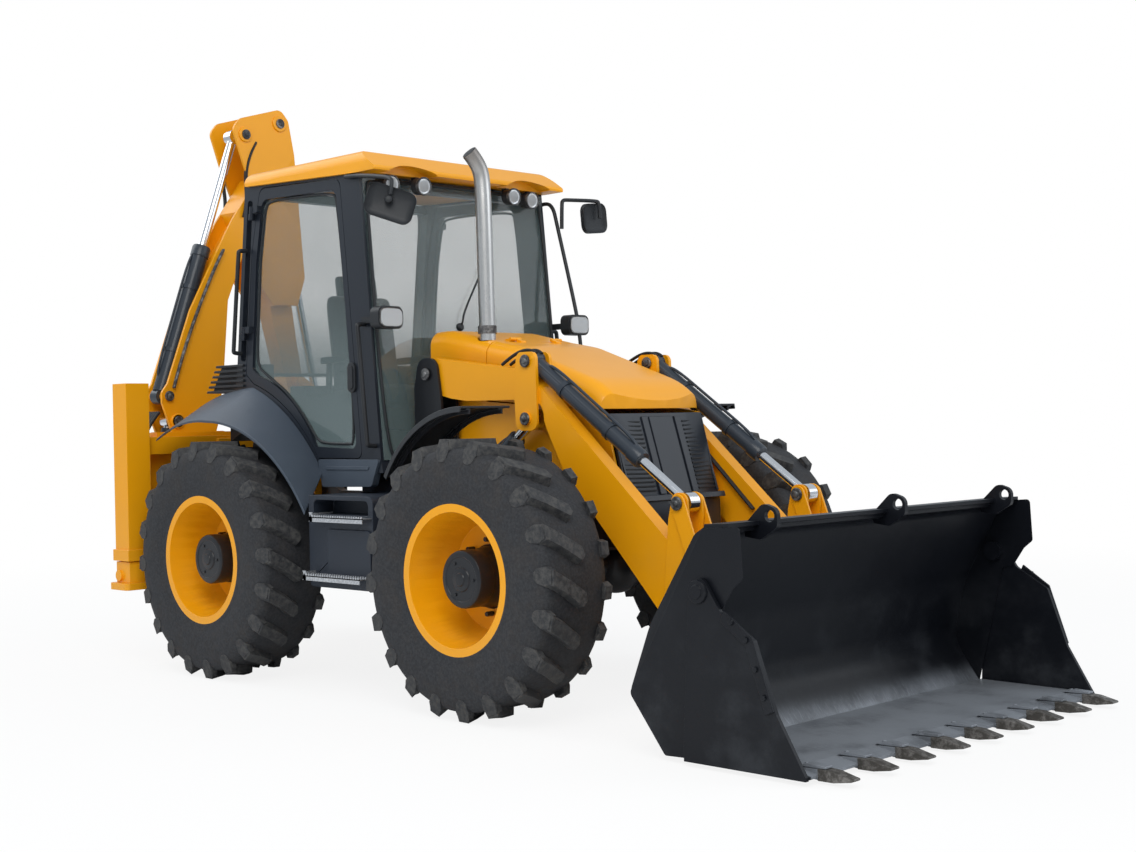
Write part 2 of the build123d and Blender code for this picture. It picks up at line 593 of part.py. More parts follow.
def seat():
    base = block(120, 520, -200, 200, CAB_FLOOR_Z + FIT, 1560)
    cushion = slab_y([(80, 1560, 30), (560, 1560, 30), (580, 1680, 40), (80, 1660, 30)], -245, 245)
    back = slab_y([(60, 1600, 30), (-20, 2230, 50), (70, 2250, 40), (190, 1660, 40)], -235, 235)
    return join(base, cushion, back)


# ---------------------------------------------------------------- fenders, steps, lamps
LIP_Y = TRACK / 2 + 50   # outer lip of a rear fender
FENDER_WALL = 16
GUARD_WALL = 14         # of a front fender


def rear_fender(side):
    """A curved shell from the cab's side, high, to its outer lip, low over the tyre."""
    drop = FENDER_WALL

    def section(y, top, low):
        points = [Vector(a, y, b) for a, b in top + low]
        edges = [ThreePointArc(*points[0:3]), ThreePointArc(*points[2:5]), Line(points[4], points[5]),
                 ThreePointArc(*points[5:8]), ThreePointArc(*points[7:10]), Line(points[9], points[0])]
        return Face(Wire(edges))

    high = [(-640, 1590), (-340, 1668), (-75, 1690), (262, 1517), (600, 1180)]
    lip = [(-713, 1385), (-430, 1480), (-154, 1495), (377, 1360), (815, 965)]
    inner = section(side * (CAB_HALF + FIT), high, [(a - 0.55 * drop, b - drop) for a, b in reversed(high)])
    outer = section(side * LIP_Y, lip, [(a - 0.55 * drop, b - drop) for a, b in reversed(lip)])
    return Solid.make_loft([inner.outer_wire(), outer.outer_wire()], ruled=True)


def front_fender(side):
    """A thin arched guard over a front wheel, on a bracket from the loader tower."""
    out = [(WHEELBASE + ahead, z) for ahead, z in ((-680, 1150), (-548, 1378), (-230, 1532), (90, 1575), (400, 1526))]
    centre = (WHEELBASE, AXLE_Z + 50)
    back = [between(p, centre, GUARD_WALL / distance(p, centre)) for p in out]
    points = [out[0], out[1] + ("arc",), out[2], out[3] + ("arc",), out[4],
              back[4], back[3] + ("arc",), back[2], back[1] + ("arc",), back[0]]
    guard = slab_y(points, *sorted((side * 740, side * 1150)))
    tower = ARM_Y + TOWER_GAP + TOWER_WALL + FIT
    return guard + block(1380, WHEELBASE - 670, *sorted((side * tower, side * 800)), 1130, 1158)


def fenders():
    return [make(side) for make in (rear_fender, front_fender) for side in SIDES.values()]


STEP_X = (835, WHEELBASE - TYRE_R - 125)      # clear of a steered front tyre
STEP_Y = (560, 1000)


def step_boxes():
    pieces = []
    for side in SIDES.values():
        y0, y1 = sorted((side * STEP_Y[0], side * STEP_Y[1]))
        box = slab_y([(STEP_X[0], 560, 30), (STEP_X[0], 1065), (STEP_X[1], 1065, 40), (STEP_X[1], 560, 30)], y0, y1)
        notch = slab_y([(STEP_X[0] + 45, 962), (STEP_X[0] + 45, 1040, 30), (STEP_X[1] - 40, 1040, 30), (STEP_X[1] - 40, 962)], *sorted((side * 860, side * 1010)))
        hanger = block(STEP_X[0] + 65, STEP_X[1] - 210, *sorted((side * (RAIL_Y + RAIL_HALF), side * 561)), 880, 960)
        pieces.append(box - notch + hanger)
    return pieces


def steps():
    pieces = []
    for side in SIDES.values():
        upper = block(STEP_X[0] + 35, STEP_X[1] - 30, *sorted((side * (STEP_Y[1] + FIT), side * 1060)), 930, 950)
        lower = block(STEP_X[0] + 15, STEP_X[1] - 80, *sorted((side * (STEP_Y[1] + FIT), side * 1080)), 580, 602)
        pieces += [upper, lower]
    return pieces


def lamps():
    pieces = []
    for y in (552, -552, 355, -355):
        x = 1074 if abs(y) > 500 else 1120
        lamp = round_bar((x - 60, y, 2806), (x, y, 2802), 48)
        pieces.append(lamp + block(1022, max(1040, x - 58), y - 12, y + 12, 2800, 2860))
    for side in SIDES.values():
        corners = [(side * (CAB_HALF + 20) + a * 88, 2034 + b * 62, 40) for a, b in ((-1, -1), (-1, 1), (1, 1), (1, -1))]
        head = slab_x(corners, 1196, 1268)
        bracket = block(1010, 1200, *sorted((side * (CAB_HALF + FIT), side * (CAB_HALF + 20))), 2014, 2050)
        pieces.append(head + bracket)
    return pieces


def mirrors():
    pieces = []
    for side in SIDES.values():
        foot = block(985, 1015, *sorted((side * (CAB_HALF + FIT), side * (CAB_HALF + 20))), 2735, 2785)
        arm = round_bar((1000, side * (CAB_HALF + 12), 2760), (1060, side * (CAB_HALF + 210), 2800), 11)
        corners = [(side * (CAB_HALF + 295) + a * 95, 2730 + b * 120, 50) for a, b in ((-1, -1), (-1, 1), (1, 1), (1, -1))]
        head = slab_x(corners, 1030, 1082)
        pieces.append(join(foot, arm, head))
    return pieces


# ---------------------------------------------------------------- loader
EAR_IN = 50
EAR_OUT = 62
LEVER_IN = ARM_HALF + RUN
LEVER_OUT = LEVER_IN + 12
TIE_IN = LEVER_OUT + RUN
TIE_OUT = TIE_IN + 12


LIFT_ROOM = 108             # radius kept free round the lift ram's eye, which drifts as the arms rise


def loader_arms():
    body = None
    profile = [(1250, 1640, 60), (1250, 1805, 70), (1345, 1811), (2040, 1723), (2190, 1628, 80), (3067, 843),
               (3200, 660, 60), (3395, 350, 50), (3345, 262, 50), (3262, 298, 40), (2976, 526), (2350, 1197), (2240, 1400, 60),
               (2170, 1562), (1629, 1566), (1500, 1582)]
    for middle in (ARM_Y, -ARM_Y):
        beam = slab_y(profile, middle - ARM_HALF, middle + ARM_HALF)
        for y0, y1 in sides(EAR_IN - 8, EAR_OUT, middle):
            ear = slab_y([(2040, 1810, 40), (2180, 1810, 40), (2185, 1600), (2190, 1400, 50), (2030, 1400, 50), (2020, 1600)], y0, y1)
            beam = beam + ear
        for spot, room in ((TIP_BASE, 62), (LIFT_EYE, LIFT_ROOM)):
            beam = beam - cross_bar(spot, middle - EAR_IN, middle + EAR_IN, room)
        beam = beam - cross_bar(ARM_PIVOT, middle - 100, middle + 100, PIN_R + FIT)
        beam = beam - cross_bar(LEVER_FOOT, middle - 100, middle + 100, PIN_R + FIT)
        beam = beam - cross_bar(BUCKET_HINGE, middle - 100, middle + 100, PIN_R + FIT)
        for y0, y1 in sides(EAR_OUT, EAR_OUT + 12, middle):
            beam = beam + cross_bar(LIFT_EYE, y0, y1, 34)
        beam = beam + cross_bar(TIP_BASE, middle - EAR_OUT - 8, middle + EAR_OUT + 8, PIN_R)
        body = beam if body is None else body + beam
    tube = cross_bar((2880, 690), -ARM_Y + ARM_HALF, ARM_Y - ARM_HALF, 70)
    return body + tube


def tipping_levers():
    pieces = []
    for middle in (ARM_Y, -ARM_Y):
        x0, z0 = LEVER_FOOT
        x1, z1 = LEVER_TOP
        outline = [(x0 - 55, z0 - 50, 45), (x0 + 60, z0 - 40, 45), (x1 + 52, z1 - 60), (x1 + 45, z1 + 50, 45), (x1 - 45, z1 + 50, 45),
                   (x1 - 75, z1 - 80, 60)]
        lever = None
        for y0, y1 in sides(LEVER_IN, LEVER_OUT, middle):
            plate = slab_y(outline, y0, y1)
            lever = plate if lever is None else lever + plate
        lever = lever + cross_bar(LEVER_FOOT, middle - LEVER_OUT, middle + LEVER_OUT, PIN_R)
        for y0, y1 in sides(LEVER_OUT - 2, TIE_OUT + 6, middle):
            lever = lever + cross_bar(LEVER_TOP, y0, y1, PIN_R)
        pieces.append(lever)
    return pieces


def tipping_links():
    pieces = []
    for middle in (ARM_Y, -ARM_Y):
        for y0, y1 in sides(TIE_IN, TIE_OUT, middle):
            dx, dz = LINK_EYE[0] - LEVER_TOP[0], LINK_EYE[1] - LEVER_TOP[1]
            length = hypot(dx, dz)
            nx, nz = -dz / length * 42, dx / length * 42
            ex, ez = dx / length * 42, dz / length * 42
            outline = [(LEVER_TOP[0] - ex + nx, LEVER_TOP[1] - ez + nz, 40), (LINK_EYE[0] + ex + nx, LINK_EYE[1] + ez + nz, 40),
                       (LINK_EYE[0] + ex - nx, LINK_EYE[1] + ez - nz, 40), (LEVER_TOP[0] - ex - nx, LEVER_TOP[1] - ez - nz, 40)]
            plate = slab_y(outline, y0, y1)
            plate = plate - cross_bar(LEVER_TOP, y0 - 1, y1 + 1, PIN_R + FIT)
            plate = plate - cross_bar(LINK_EYE, y0 - 1, y1 + 1, PIN_R + FIT)
            pieces.append(plate)
    return pieces


def loader_rams(which):
    """Barrels or rods of the lift rams or of the tipping rams, one on each side."""
    base, eye, barrel_r, rod_r, length, retract = {"lift": (LIFT_BASE, LIFT_EYE, 46, 28, 800, 30),
                                                   "tip": (TIP_BASE, LEVER_TOP, 42, 25, 900, 130)}[which]
    pairs = [ram(base, eye, cross_bar, middle, barrel_r, rod_r, length, retract, 34, 50) for middle in (ARM_Y, -ARM_Y)]
    return [p[0] for p in pairs], [p[1] for p in pairs]


SHELL = 22
REAR_SIDE = [(3825, 984), (4022, 997, 20), (4034, 785, 20), (3985, 745), (3920, 650), (3860, 640), (3715, 45), (3715, 14),
             (3595, 10, 20), (3397, 258, 30)]


def bucket_shell():
    """The rear half: back plate, two side plates, three lugs for a fork shaft, ears for arms and links."""
    inner = BUCKET_HALF - 28
    back = [(3830, 990), (3930, 995), (3930, 970), (3850, 950, 60), (3640, 560, 400), (3560, 250, 200), (3715, 40), (3715, 14), (3595, 10, 20),
            (3397, 258, 60), (3520, 560, 400), (3780, 960, 60)]
    body = slab_y(back, -inner, inner)
    for side in SIDES.values():
        y0, y1 = sorted((side * (inner - 1), side * (BUCKET_HALF - 26)))
        body = body + slab_y(REAR_SIDE, y0, y1)
        body = body + cross_bar(CLAM_PIVOT, *sorted((side * (inner - 30), side * (inner + 1))), 48)
        body = body + cross_bar(CLAM_PIVOT, *sorted((side * (inner - 30), side * (BUCKET_HALF + 12))), PIN_R)
    for y in (-965, 0, 965):
        lug = slab_y([(3870, 985), (3975, 1085, 40), (4050, 1060, 40), (4050, 985, 30), (3960, 930, 20), (3880, 940)], y - 12, y + 12)
        body = body + (lug - cross_bar((4010, 1031), y - 20, y + 20, FORK_R))
    for middle in (ARM_Y, -ARM_Y):
        hx, hz = BUCKET_HINGE
        for y0, y1 in sides(LEVER_IN, LEVER_OUT, middle):
            ear = slab_y([(hx - 62, hz + 45, 50), (hx - 40, hz - 62, 50), (3470, 195), (3530, 440)], y0, y1)
            body = body + ear
        body = body + cross_bar(BUCKET_HINGE, middle - LEVER_OUT, middle + LEVER_OUT, PIN_R)
        lx, lz = LINK_EYE
        for y0, y1 in sides(TIE_OUT + RUN, TIE_OUT + RUN + 14, middle):
            ear = slab_y([(lx - 48, lz - 42, 40), (lx - 48, lz + 48, 40), (3570, 600), (3520, 390)], y0, y1)
            body = body + ear
    return body


FORK_R = 26


def clam():
    """The front half: floor, cutting edge with teeth, and two side plates outside the rear ones."""
    outer = BUCKET_HALF
    floor = slab_y([(3722, 6), (3722, 46), (4240, 40), (4349, 22), (4349, 10)], -outer, outer)
    body = floor
    outline = [(3722, 6), (3722, 60), (3765, 740, 50), (3830, 800, 40), (3934, 645, 40), (4106, 543, 20), (4209, 255, 10), (4349, 20), (4349, 6)]
    for side in SIDES.values():
        y0, y1 = sorted((side * (outer - 20), side * outer))
        plate = slab_y(outline, y0, y1) - cross_bar(CLAM_PIVOT, y0 - 1, y1 + 1, PIN_R + FIT)
        body = body + plate
    pitch = 2 * (outer - 113) / (TOOTH_COUNT - 1)
    for i in range(TOOTH_COUNT):
        y = -outer + 113 + i * pitch
        tooth = slab_y([(4260, 40), (4360, 44), (4504, 22), (4504, 12), (4360, 0), (4260, 8)], y - 30, y + 30)
        body = body + tooth
    return body


# ---------------------------------------------------------------- backhoe
def carriage():
    plate_x = (FRAME_X[0] - RUN - 60, FRAME_X[0] - RUN)
    body = slab_x([(SLEW_Y - 300, 530, 30), (SLEW_Y - 300, 1430, 60), (SLEW_Y + 300, 1430, 60), (SLEW_Y + 300, 530, 30)], *plate_x)
    for z0, z1 in ((1400 + FIT, 1426), (534, 560 - FIT)):
        body = body + block(plate_x[0] + 20, FRAME_X[1] - 30, SLEW_Y - 300, SLEW_Y + 300, z0, z1)
    for z0, z1 in ((560, 620), (880, 940)):
        lug = block(SLEW_X, plate_x[0] + 1, SLEW_Y - 80, SLEW_Y + 80, z0, z1) + Pos(SLEW_X, SLEW_Y, (z0 + z1) / 2) * Cylinder(90, z1 - z0)
        body = body + lug - Pos(SLEW_X, SLEW_Y, (z0 + z1) / 2) * Cylinder(45 + FIT, z1 - z0 + 2)
    return body


def kingpost():
    u = SLEW_Y
    outline = [(u - 80, 626), (u - 80, 874), (u + 96, 874), (u + 96, 946), (u - 80, 946), (u - 80, 1160, 40), (u + 30, 1190, 60),
               (u + 220, 1040, 60), (u + 270, 930, 60), (u + 240, 850, 60), (u + 120, 626)]
    body = slab_x(outline, SLEW_X - 150, SLEW_X - 120) + slab_x(outline, SLEW_X + 120, SLEW_X + 150)
    body = body + block(SLEW_X - 121, SLEW_X + 121, u - 80, u + 80, 626, 874)
    body = body + block(SLEW_X - 121, SLEW_X + 121, u - 80, u + 70, 946, 975)
    body = body + Pos(SLEW_X, u, 600) * Cylinder(45, 90) + Pos(SLEW_X, u, 910) * Cylinder(45, 80)
    body = body + boom_bar(BOOM_FOOT, SLEW_X - 160, SLEW_X + 160, PIN_R)
    body = body + boom_bar(BOOM_RAM_BASE, SLEW_X - 160, SLEW_X + 160, PIN_R)
    return body


BOOM_HALF = 110
BOOM_WALL = 20


def boom():
    outline = [(-520, 850, 60), (-365, 850, 60), (-330, 1100), (-200, 1500), (-150, 1877), (-110, 2320), (70, 2760), (310, 3060, 60),
               (300, 3190, 70), (165, 3200, 70), (-60, 2880), (-207, 2624), (-411, 2243), (-595, 1750), (-640, 1690, 20), (-640, 1620, 20),
               (-560, 1400), (-512, 1100)]
    body = slab_x(outline, SLEW_X - BOOM_HALF, SLEW_X + BOOM_HALF)
    channel = [(-700, 700), (-480, 700), (-380, 950), (-360, 1200), (-420, 1500), (-420, 1750), (-300, 2200), (-140, 2600), (20, 2850), (-60, 3000), (-700, 2300)]
    body = body - slab_x(channel, SLEW_X - BOOM_HALF + BOOM_WALL, SLEW_X + BOOM_HALF - BOOM_WALL)
    body = body - boom_bar(BOOM_FOOT, SLEW_X - 200, SLEW_X + 200, PIN_R + FIT)
    body = body - boom_bar(DIPPER_PIVOT, SLEW_X - 200, SLEW_X + 200, PIN_R + FIT)
    body = body + boom_bar(DIPPER_RAM_BASE, SLEW_X - BOOM_HALF - 12, SLEW_X + BOOM_HALF + 12, PIN_R)
    for x0, x1 in ((-BOOM_HALF - 12, -BOOM_HALF + 4), (BOOM_HALF - 4, BOOM_HALF + 12)):
        body = body + boom_bar(BOOM_RAM_EYE, SLEW_X + x0, SLEW_X + x1, 45)
    return body


def dipper_spot(along, out):
    """A point (y, z) from the dipper's pivot: along its line, and out from the boom."""
    length = distance(DIPPER_PIVOT, DIPPER_TIP)
    sy, sz = (DIPPER_TIP[0] - DIPPER_PIVOT[0]) / length, (DIPPER_TIP[1] - DIPPER_PIVOT[1]) / length
    return (DIPPER_PIVOT[0] + sy * along - sz * out, DIPPER_PIVOT[1] + sz * along + sy * out)


DIPPER_LENGTH = distance(DIPPER_PIVOT, DIPPER_TIP)
ROCKER_PIVOT = dipper_spot(DIPPER_LENGTH - ROCKER_SPAN, 0)
CRANK_OUT = ROCKER_LENGTH * sin(radians(ROCKER_REST))
CRANK_ALONG = -ROCKER_LENGTH * cos(radians(ROCKER_REST))
ROCKER_EYE = dipper_spot(DIPPER_LENGTH - ROCKER_SPAN + CRANK_ALONG, CRANK_OUT)
BUCKET_EYE = dipper_spot(DIPPER_LENGTH + CRANK_ALONG, CRANK_OUT)


def dipper():
    head = [(-68, 3500, 60), (-9, 3572, 70), (325, 3672, 60), (391, 3599, 60), (437, 3365, 200), (476, 2870), (508, 2500), (440, 2300), (230, 2300),
            (70, 2520, 80), (178, 2870, 60), (23, 3232, 200)]
    body = slab_x(head, SLEW_X - 150, SLEW_X - 130) + slab_x(head, SLEW_X + 130, SLEW_X + 150)
    tip = DIPPER_LENGTH
    box = [(200, 30), (200, 90), (694, 78), (1080, 64), (tip + 60, 60, 50), (tip + 60, -60, 50), (1420, -75), (900, -110),
           (480, -110), (330, -40)]
    wide = [(200, 30), (200, 90), (694, 78), (820, 74), (820, -110), (480, -110), (330, -40)]
    body = body + slab_x([dipper_spot(*p[:2]) + p[2:] for p in box], SLEW_X - 70, SLEW_X + 70)
    body = body + slab_x([dipper_spot(*p) for p in wide], SLEW_X - 131, SLEW_X + 131)
    for spot in (DIPPER_PIVOT, BUCKET_RAM_BASE):
        body = body + boom_bar(spot, SLEW_X - 162, SLEW_X + 162, PIN_R)
    for x0, x1 in ((-162, -150), (150, 162)):
        body = body + boom_bar(DIPPER_RAM_EYE, SLEW_X + x0, SLEW_X + x1, 38)
    body = body - boom_bar(DIPPER_TIP, SLEW_X - 200, SLEW_X + 200, PIN_R + FIT)
    body = body + boom_bar(ROCKER_PIVOT, SLEW_X - 116, SLEW_X + 116, 40) + boom_bar(ROCKER_PIVOT, SLEW_X - 140, SLEW_X + 140, PIN_R)
    return body


def strap(p, q, radius, x0, x1):
    """A flat bar with round ends and a bore at each end."""
    length = distance(p, q)
    eu, ez = (q[0] - p[0]) / length * radius, (q[1] - p[1]) / length * radius
    corner = 0.98 * radius
    outline = [(p[0] - eu - ez, p[1] - ez + eu, corner), (q[0] + eu - ez, q[1] + ez + eu, corner),
               (q[0] + eu + ez, q[1] + ez - eu, corner), (p[0] - eu + ez, p[1] - ez - eu, corner)]
    plate = slab_x(outline, x0, x1)
    for spot in (p, q):
        plate = plate - boom_bar(spot, x0 - 1, x1 + 1, PIN_R + FIT)
    return plate


def mirrored_x(x0, x1):
    """Two X spans, one on each side of the backhoe's own plane."""
    return ((SLEW_X + x0, SLEW_X + x1), (SLEW_X - x1, SLEW_X - x0))


def rocker():
    return [strap(ROCKER_PIVOT, ROCKER_EYE, 36, *span) for span in mirrored_x(118, 132)]


def dig_link():
    bars = []
    for span in mirrored_x(100, 112):
        bar = strap(ROCKER_EYE, BUCKET_EYE, 36, *span)
        outer = (span[1], span[1] + 26) if span[0] > SLEW_X else (span[0] - 26, span[0])
        bars.append(bar + boom_bar(ROCKER_EYE, min(outer) - 2, max(outer) + 2, PIN_R))
    return bars


def dig_bucket():
    turn = atan2(BUCKET_EYE[1] - DIPPER_TIP[1], BUCKET_EYE[0] - DIPPER_TIP[0])

    def placed(points):
        """Points (p, q, ...) from the dipper's tip: p towards the link's eye, q towards the teeth."""
        return [(DIPPER_TIP[0] + p[0] * cos(turn) + p[1] * sin(turn), DIPPER_TIP[1] + p[0] * sin(turn) - p[1] * cos(turn)) + tuple(p[2:])
                for p in points]

    half = 300
    outer = [(-60, 95), (330, 95, 90), (490, 340, 160), (450, 690, 180), (90, 905), (75, 885)]
    inner = [(-160, 113), (322, 113, 80), (472, 340, 145), (434, 678, 165), (80, 882), (-160, 800)]
    body = slab_x(placed(outer), SLEW_X - half, SLEW_X + half)
    body = body - slab_x(placed(inner), SLEW_X - half + 22, SLEW_X + half - 22)
    for x0, x1 in mirrored_x(76, 94):
        ear = slab_x(placed([(-50, -45, 45), (335, -48, 42), (345, 100), (-55, 100)]), x0, x1)
        body = body + ear
    for x0, x1 in mirrored_x(90, 118):
        body = body + boom_bar(BUCKET_EYE, x0, x1, PIN_R)
    body = body + boom_bar(DIPPER_TIP, SLEW_X - 96, SLEW_X + 96, PIN_R)
    for i in range(5):
        x = SLEW_X - 250 + i * 125
        body = body + slab_x(placed([(96, 850), (84, 1010), (96, 1010), (118, 885)]), x - 32, x + 32)
    return body


def backhoe_rams():
    rams = {
        "boom_ram": ram(BOOM_RAM_BASE, BOOM_RAM_EYE, boom_bar, SLEW_X, 42, 30, 398, 0, 40, 44),
        "dipper_ram": ram(DIPPER_RAM_BASE, DIPPER_RAM_EYE, boom_bar, SLEW_X, 56, 32, 1075, 660, 40, 52),
        "dig_ram": ram(BUCKET_RAM_BASE, ROCKER_EYE, boom_bar, SLEW_X, 48, 28, 1120, 460, 36, 48),
    }
    return rams


# ---------------------------------------------------------------- origin and parts
TAIL_X = SLEW_X - 300
NOSE_X = 4504
ORIGIN = Vector(-(TAIL_X + NOSE_X) / 2, 0, TYRE_R - AXLE_Z)


def gather():
    nodes = {
        "chassis": chassis(),
        "rear_frame": rear_frame(),
        "axles": [axle(x) for x in AXLES.values()],
        "driveline": driveline(),
        "cowl": cowl(),
        "bonnet": bonnet(),
        "grille": grille(),
        "exhaust_stack": exhaust(),
        "cab_frame": cab_frame(),
        "cab_roof": roof(),
        "cab_glass": cab_glass(),
        "cab_interior": interior(),
        "seat": seat(),
        "fenders": fenders(),
        "step_boxes": step_boxes(),
        "steps": steps(),
        "lamps": lamps(),
        "mirrors": mirrors(),
        "loader_arms": loader_arms(),
        "tipping_levers": tipping_levers(),
        "tipping_links": tipping_links(),
        "bucket_shell": bucket_shell(),
        "bucket_clam": clam(),
        "shift_carriage": carriage(),
        "kingpost": kingpost(),
        "boom": boom(),
        "dipper": dipper(),
        "dig_rocker": rocker(),
        "dig_link": dig_link(),
        "dig_bucket": dig_bucket(),
    }
    for which in ("lift", "tip"):
        barrels, rods = loader_rams(which)
        nodes[which + "_ram_barrels"] = barrels
        nodes[which + "_ram_rods"] = rods
    for name, (barrel, rod) in backhoe_rams().items():
        nodes[name + "_barrel"] = barrel
        nodes[name + "_rod"] = rod
    blank = tyre_blank()
    for side_name, side in SIDES.items():
        nodes["door_" + side_name] = door(side)
        nodes["door_glass_" + side_name] = door_glass(side)
        nodes["stabilizer_leg_" + side_name] = stabilizer_leg(side)
        for axle_name, x in AXLES.items():
            place = (x, side * TRACK / 2, side)
            nodes["knuckle_" + axle_name + "_" + side_name] = knuckle(*place)
            nodes["rim_" + axle_name + "_" + side_name] = rim(*place)
            nodes["tyre_" + axle_name + "_" + side_name] = blank.moved(Location((x, side * TRACK / 2, AXLE_Z)))
    return nodes


def main():
    os.makedirs("parts", exist_ok=True)
    for name, shape in gather().items():
        solids = []
        for piece in shape if isinstance(shape, list) else [shape]:
            solids += list(piece.solids())
        whole = Compound(children=[s.moved(Location(ORIGIN)) for s in solids]) if len(solids) > 1 else solids[0].moved(Location(ORIGIN))
        whole.label = name
        export_step(whole, "parts/" + name + ".step")


if __name__ == "__main__":
    main()
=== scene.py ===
# %% [markdown]
# # A backhoe loader, dressed in Blender
# The machine arrives as solids that already have the right sizes, joints and outlines.
# This lesson gives them their paint, rubber, glass and steel, and adds what is too fine for the
# solids: tyre lugs, hoses, bolts, lenses, cushions. Each cell makes one piece or one finish.

# %% Load the solids
import json
import math
import bmesh
import bpy
from mathutils import Matrix, Vector


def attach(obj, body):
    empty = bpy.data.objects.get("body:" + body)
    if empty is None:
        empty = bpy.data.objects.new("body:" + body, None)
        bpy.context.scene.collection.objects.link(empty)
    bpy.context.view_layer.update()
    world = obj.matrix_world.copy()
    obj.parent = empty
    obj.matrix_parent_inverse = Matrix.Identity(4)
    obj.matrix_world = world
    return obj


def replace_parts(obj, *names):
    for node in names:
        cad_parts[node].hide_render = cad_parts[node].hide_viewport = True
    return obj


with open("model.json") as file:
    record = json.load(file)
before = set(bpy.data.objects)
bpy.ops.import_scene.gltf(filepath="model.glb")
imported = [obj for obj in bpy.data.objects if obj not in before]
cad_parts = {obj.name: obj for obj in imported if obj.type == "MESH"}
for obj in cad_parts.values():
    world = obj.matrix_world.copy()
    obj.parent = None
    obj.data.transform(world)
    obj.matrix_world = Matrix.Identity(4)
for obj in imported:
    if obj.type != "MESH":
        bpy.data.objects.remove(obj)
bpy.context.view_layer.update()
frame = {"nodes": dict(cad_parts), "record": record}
print("solids loaded:", len(frame["nodes"]))

# %% [markdown]
# Every place on the machine is easiest to read in millimetres from the middle of the rear axle:
# x forward, y to the left, z up from the ground under the loaded tyres. One small function
# turns such a place into the model's own metres.

# %% Places and measures
REAR_AXLE = Vector((-1427, 0, 15))
WHEELBASE, AXLE_Z, TRACK_HALF = 2220, 680, 960
ARM_Y = 475                    # the middle of a loader arm
SLEW_X = -1350                 # the upright plane in which the digging arm folds
SIDES = (("right", -1), ("left", 1))
WHEELS = [(axle + "_" + side, x, s) for axle, x in (("rear", 0), ("front", WHEELBASE))
          for side, s in SIDES]


def at(x, y, z):
    """A place in millimetres from the rear axle, as the model's metres."""
    return (Vector((x, y, z)) + REAR_AXLE) / 1000


def mm(value):
    return value / 1000


def turn(degrees, axis):
    return Matrix.Rotation(math.radians(degrees), 3, axis)


print("front axle at", at(WHEELBASE, 0, AXLE_Z))

# %% [markdown]
# ## The camera
# The machine is seen from ahead and to its right, at eye height, almost level. A 51 mm lens on
# a 36 mm sensor gives the mild perspective of someone standing ten metres away. A camera looks
# down at first, so it is tipped up by almost a right angle before it is turned.

# %% Camera
scene = bpy.context.scene


def linked(name, data):
    """A new object in the scene."""
    made = bpy.data.objects.new(name, data)
    scene.collection.objects.link(made)
    return made


YAW, PITCH, ROLL = 44.47, 0.14, -1.17
facing = turn(YAW, "Z") @ turn(90 - PITCH, "X") @ turn(ROLL, "Z")
data = bpy.data.cameras.new("camera")
data.lens, data.sensor_width = 51.205, 36
scene.camera = linked("camera", data)
scene.camera.matrix_world = (Matrix.Translation(at(8146.07, -6380.02, 1440.67))
                             @ facing.to_4x4())
print("camera placed")

# %% [markdown]
# ## Shader maths in plain Python
# A procedural finish is arithmetic on fields: noise, height, distance. Wrapping a node socket
# in a small class lets us write that arithmetic as an expression, and each operator adds the
# Math node that does it.

# %% Fields
class Field:
    """A number that changes over a surface."""

    def __init__(self, finish, socket):
        self.finish, self.socket = finish, socket

    def _math(self, operation, *values, clamp=False):
        settings = {"operation": operation, "use_clamp": clamp}
        return self.finish.node("ShaderNodeMath", settings, *values)[0]

    def __add__(self, other): return self._math("ADD", self, other)
    def __radd__(self, other): return self._math("ADD", other, self)
    def __sub__(self, other): return self._math("SUBTRACT", self, other)
    def __rsub__(self, other): return self._math("SUBTRACT", other, self)
    def __mul__(self, other): return self._math("MULTIPLY", self, other)
    def __pow__(self, other): return self._math("POWER", self, other)

    def clamp(self): return self._math("ADD", self, 0, clamp=True)

    def size(self): return self._math("ABSOLUTE", self)

    def between(self, low, high):
        """0 below low, 1 above high, and a smooth step in between."""
        settings = {"interpolation_type": "SMOOTHSTEP", "clamp": True}
        return self.finish.node("ShaderNodeMapRange", settings, self, low, high, 0, 1)[0]


print("shader maths ready")

# %% [markdown]
# A finish is one material. Its node method adds any other node, and the short methods below it
# name what the finishes use again and again: noise, cells, a colour mix, gloss and bump.

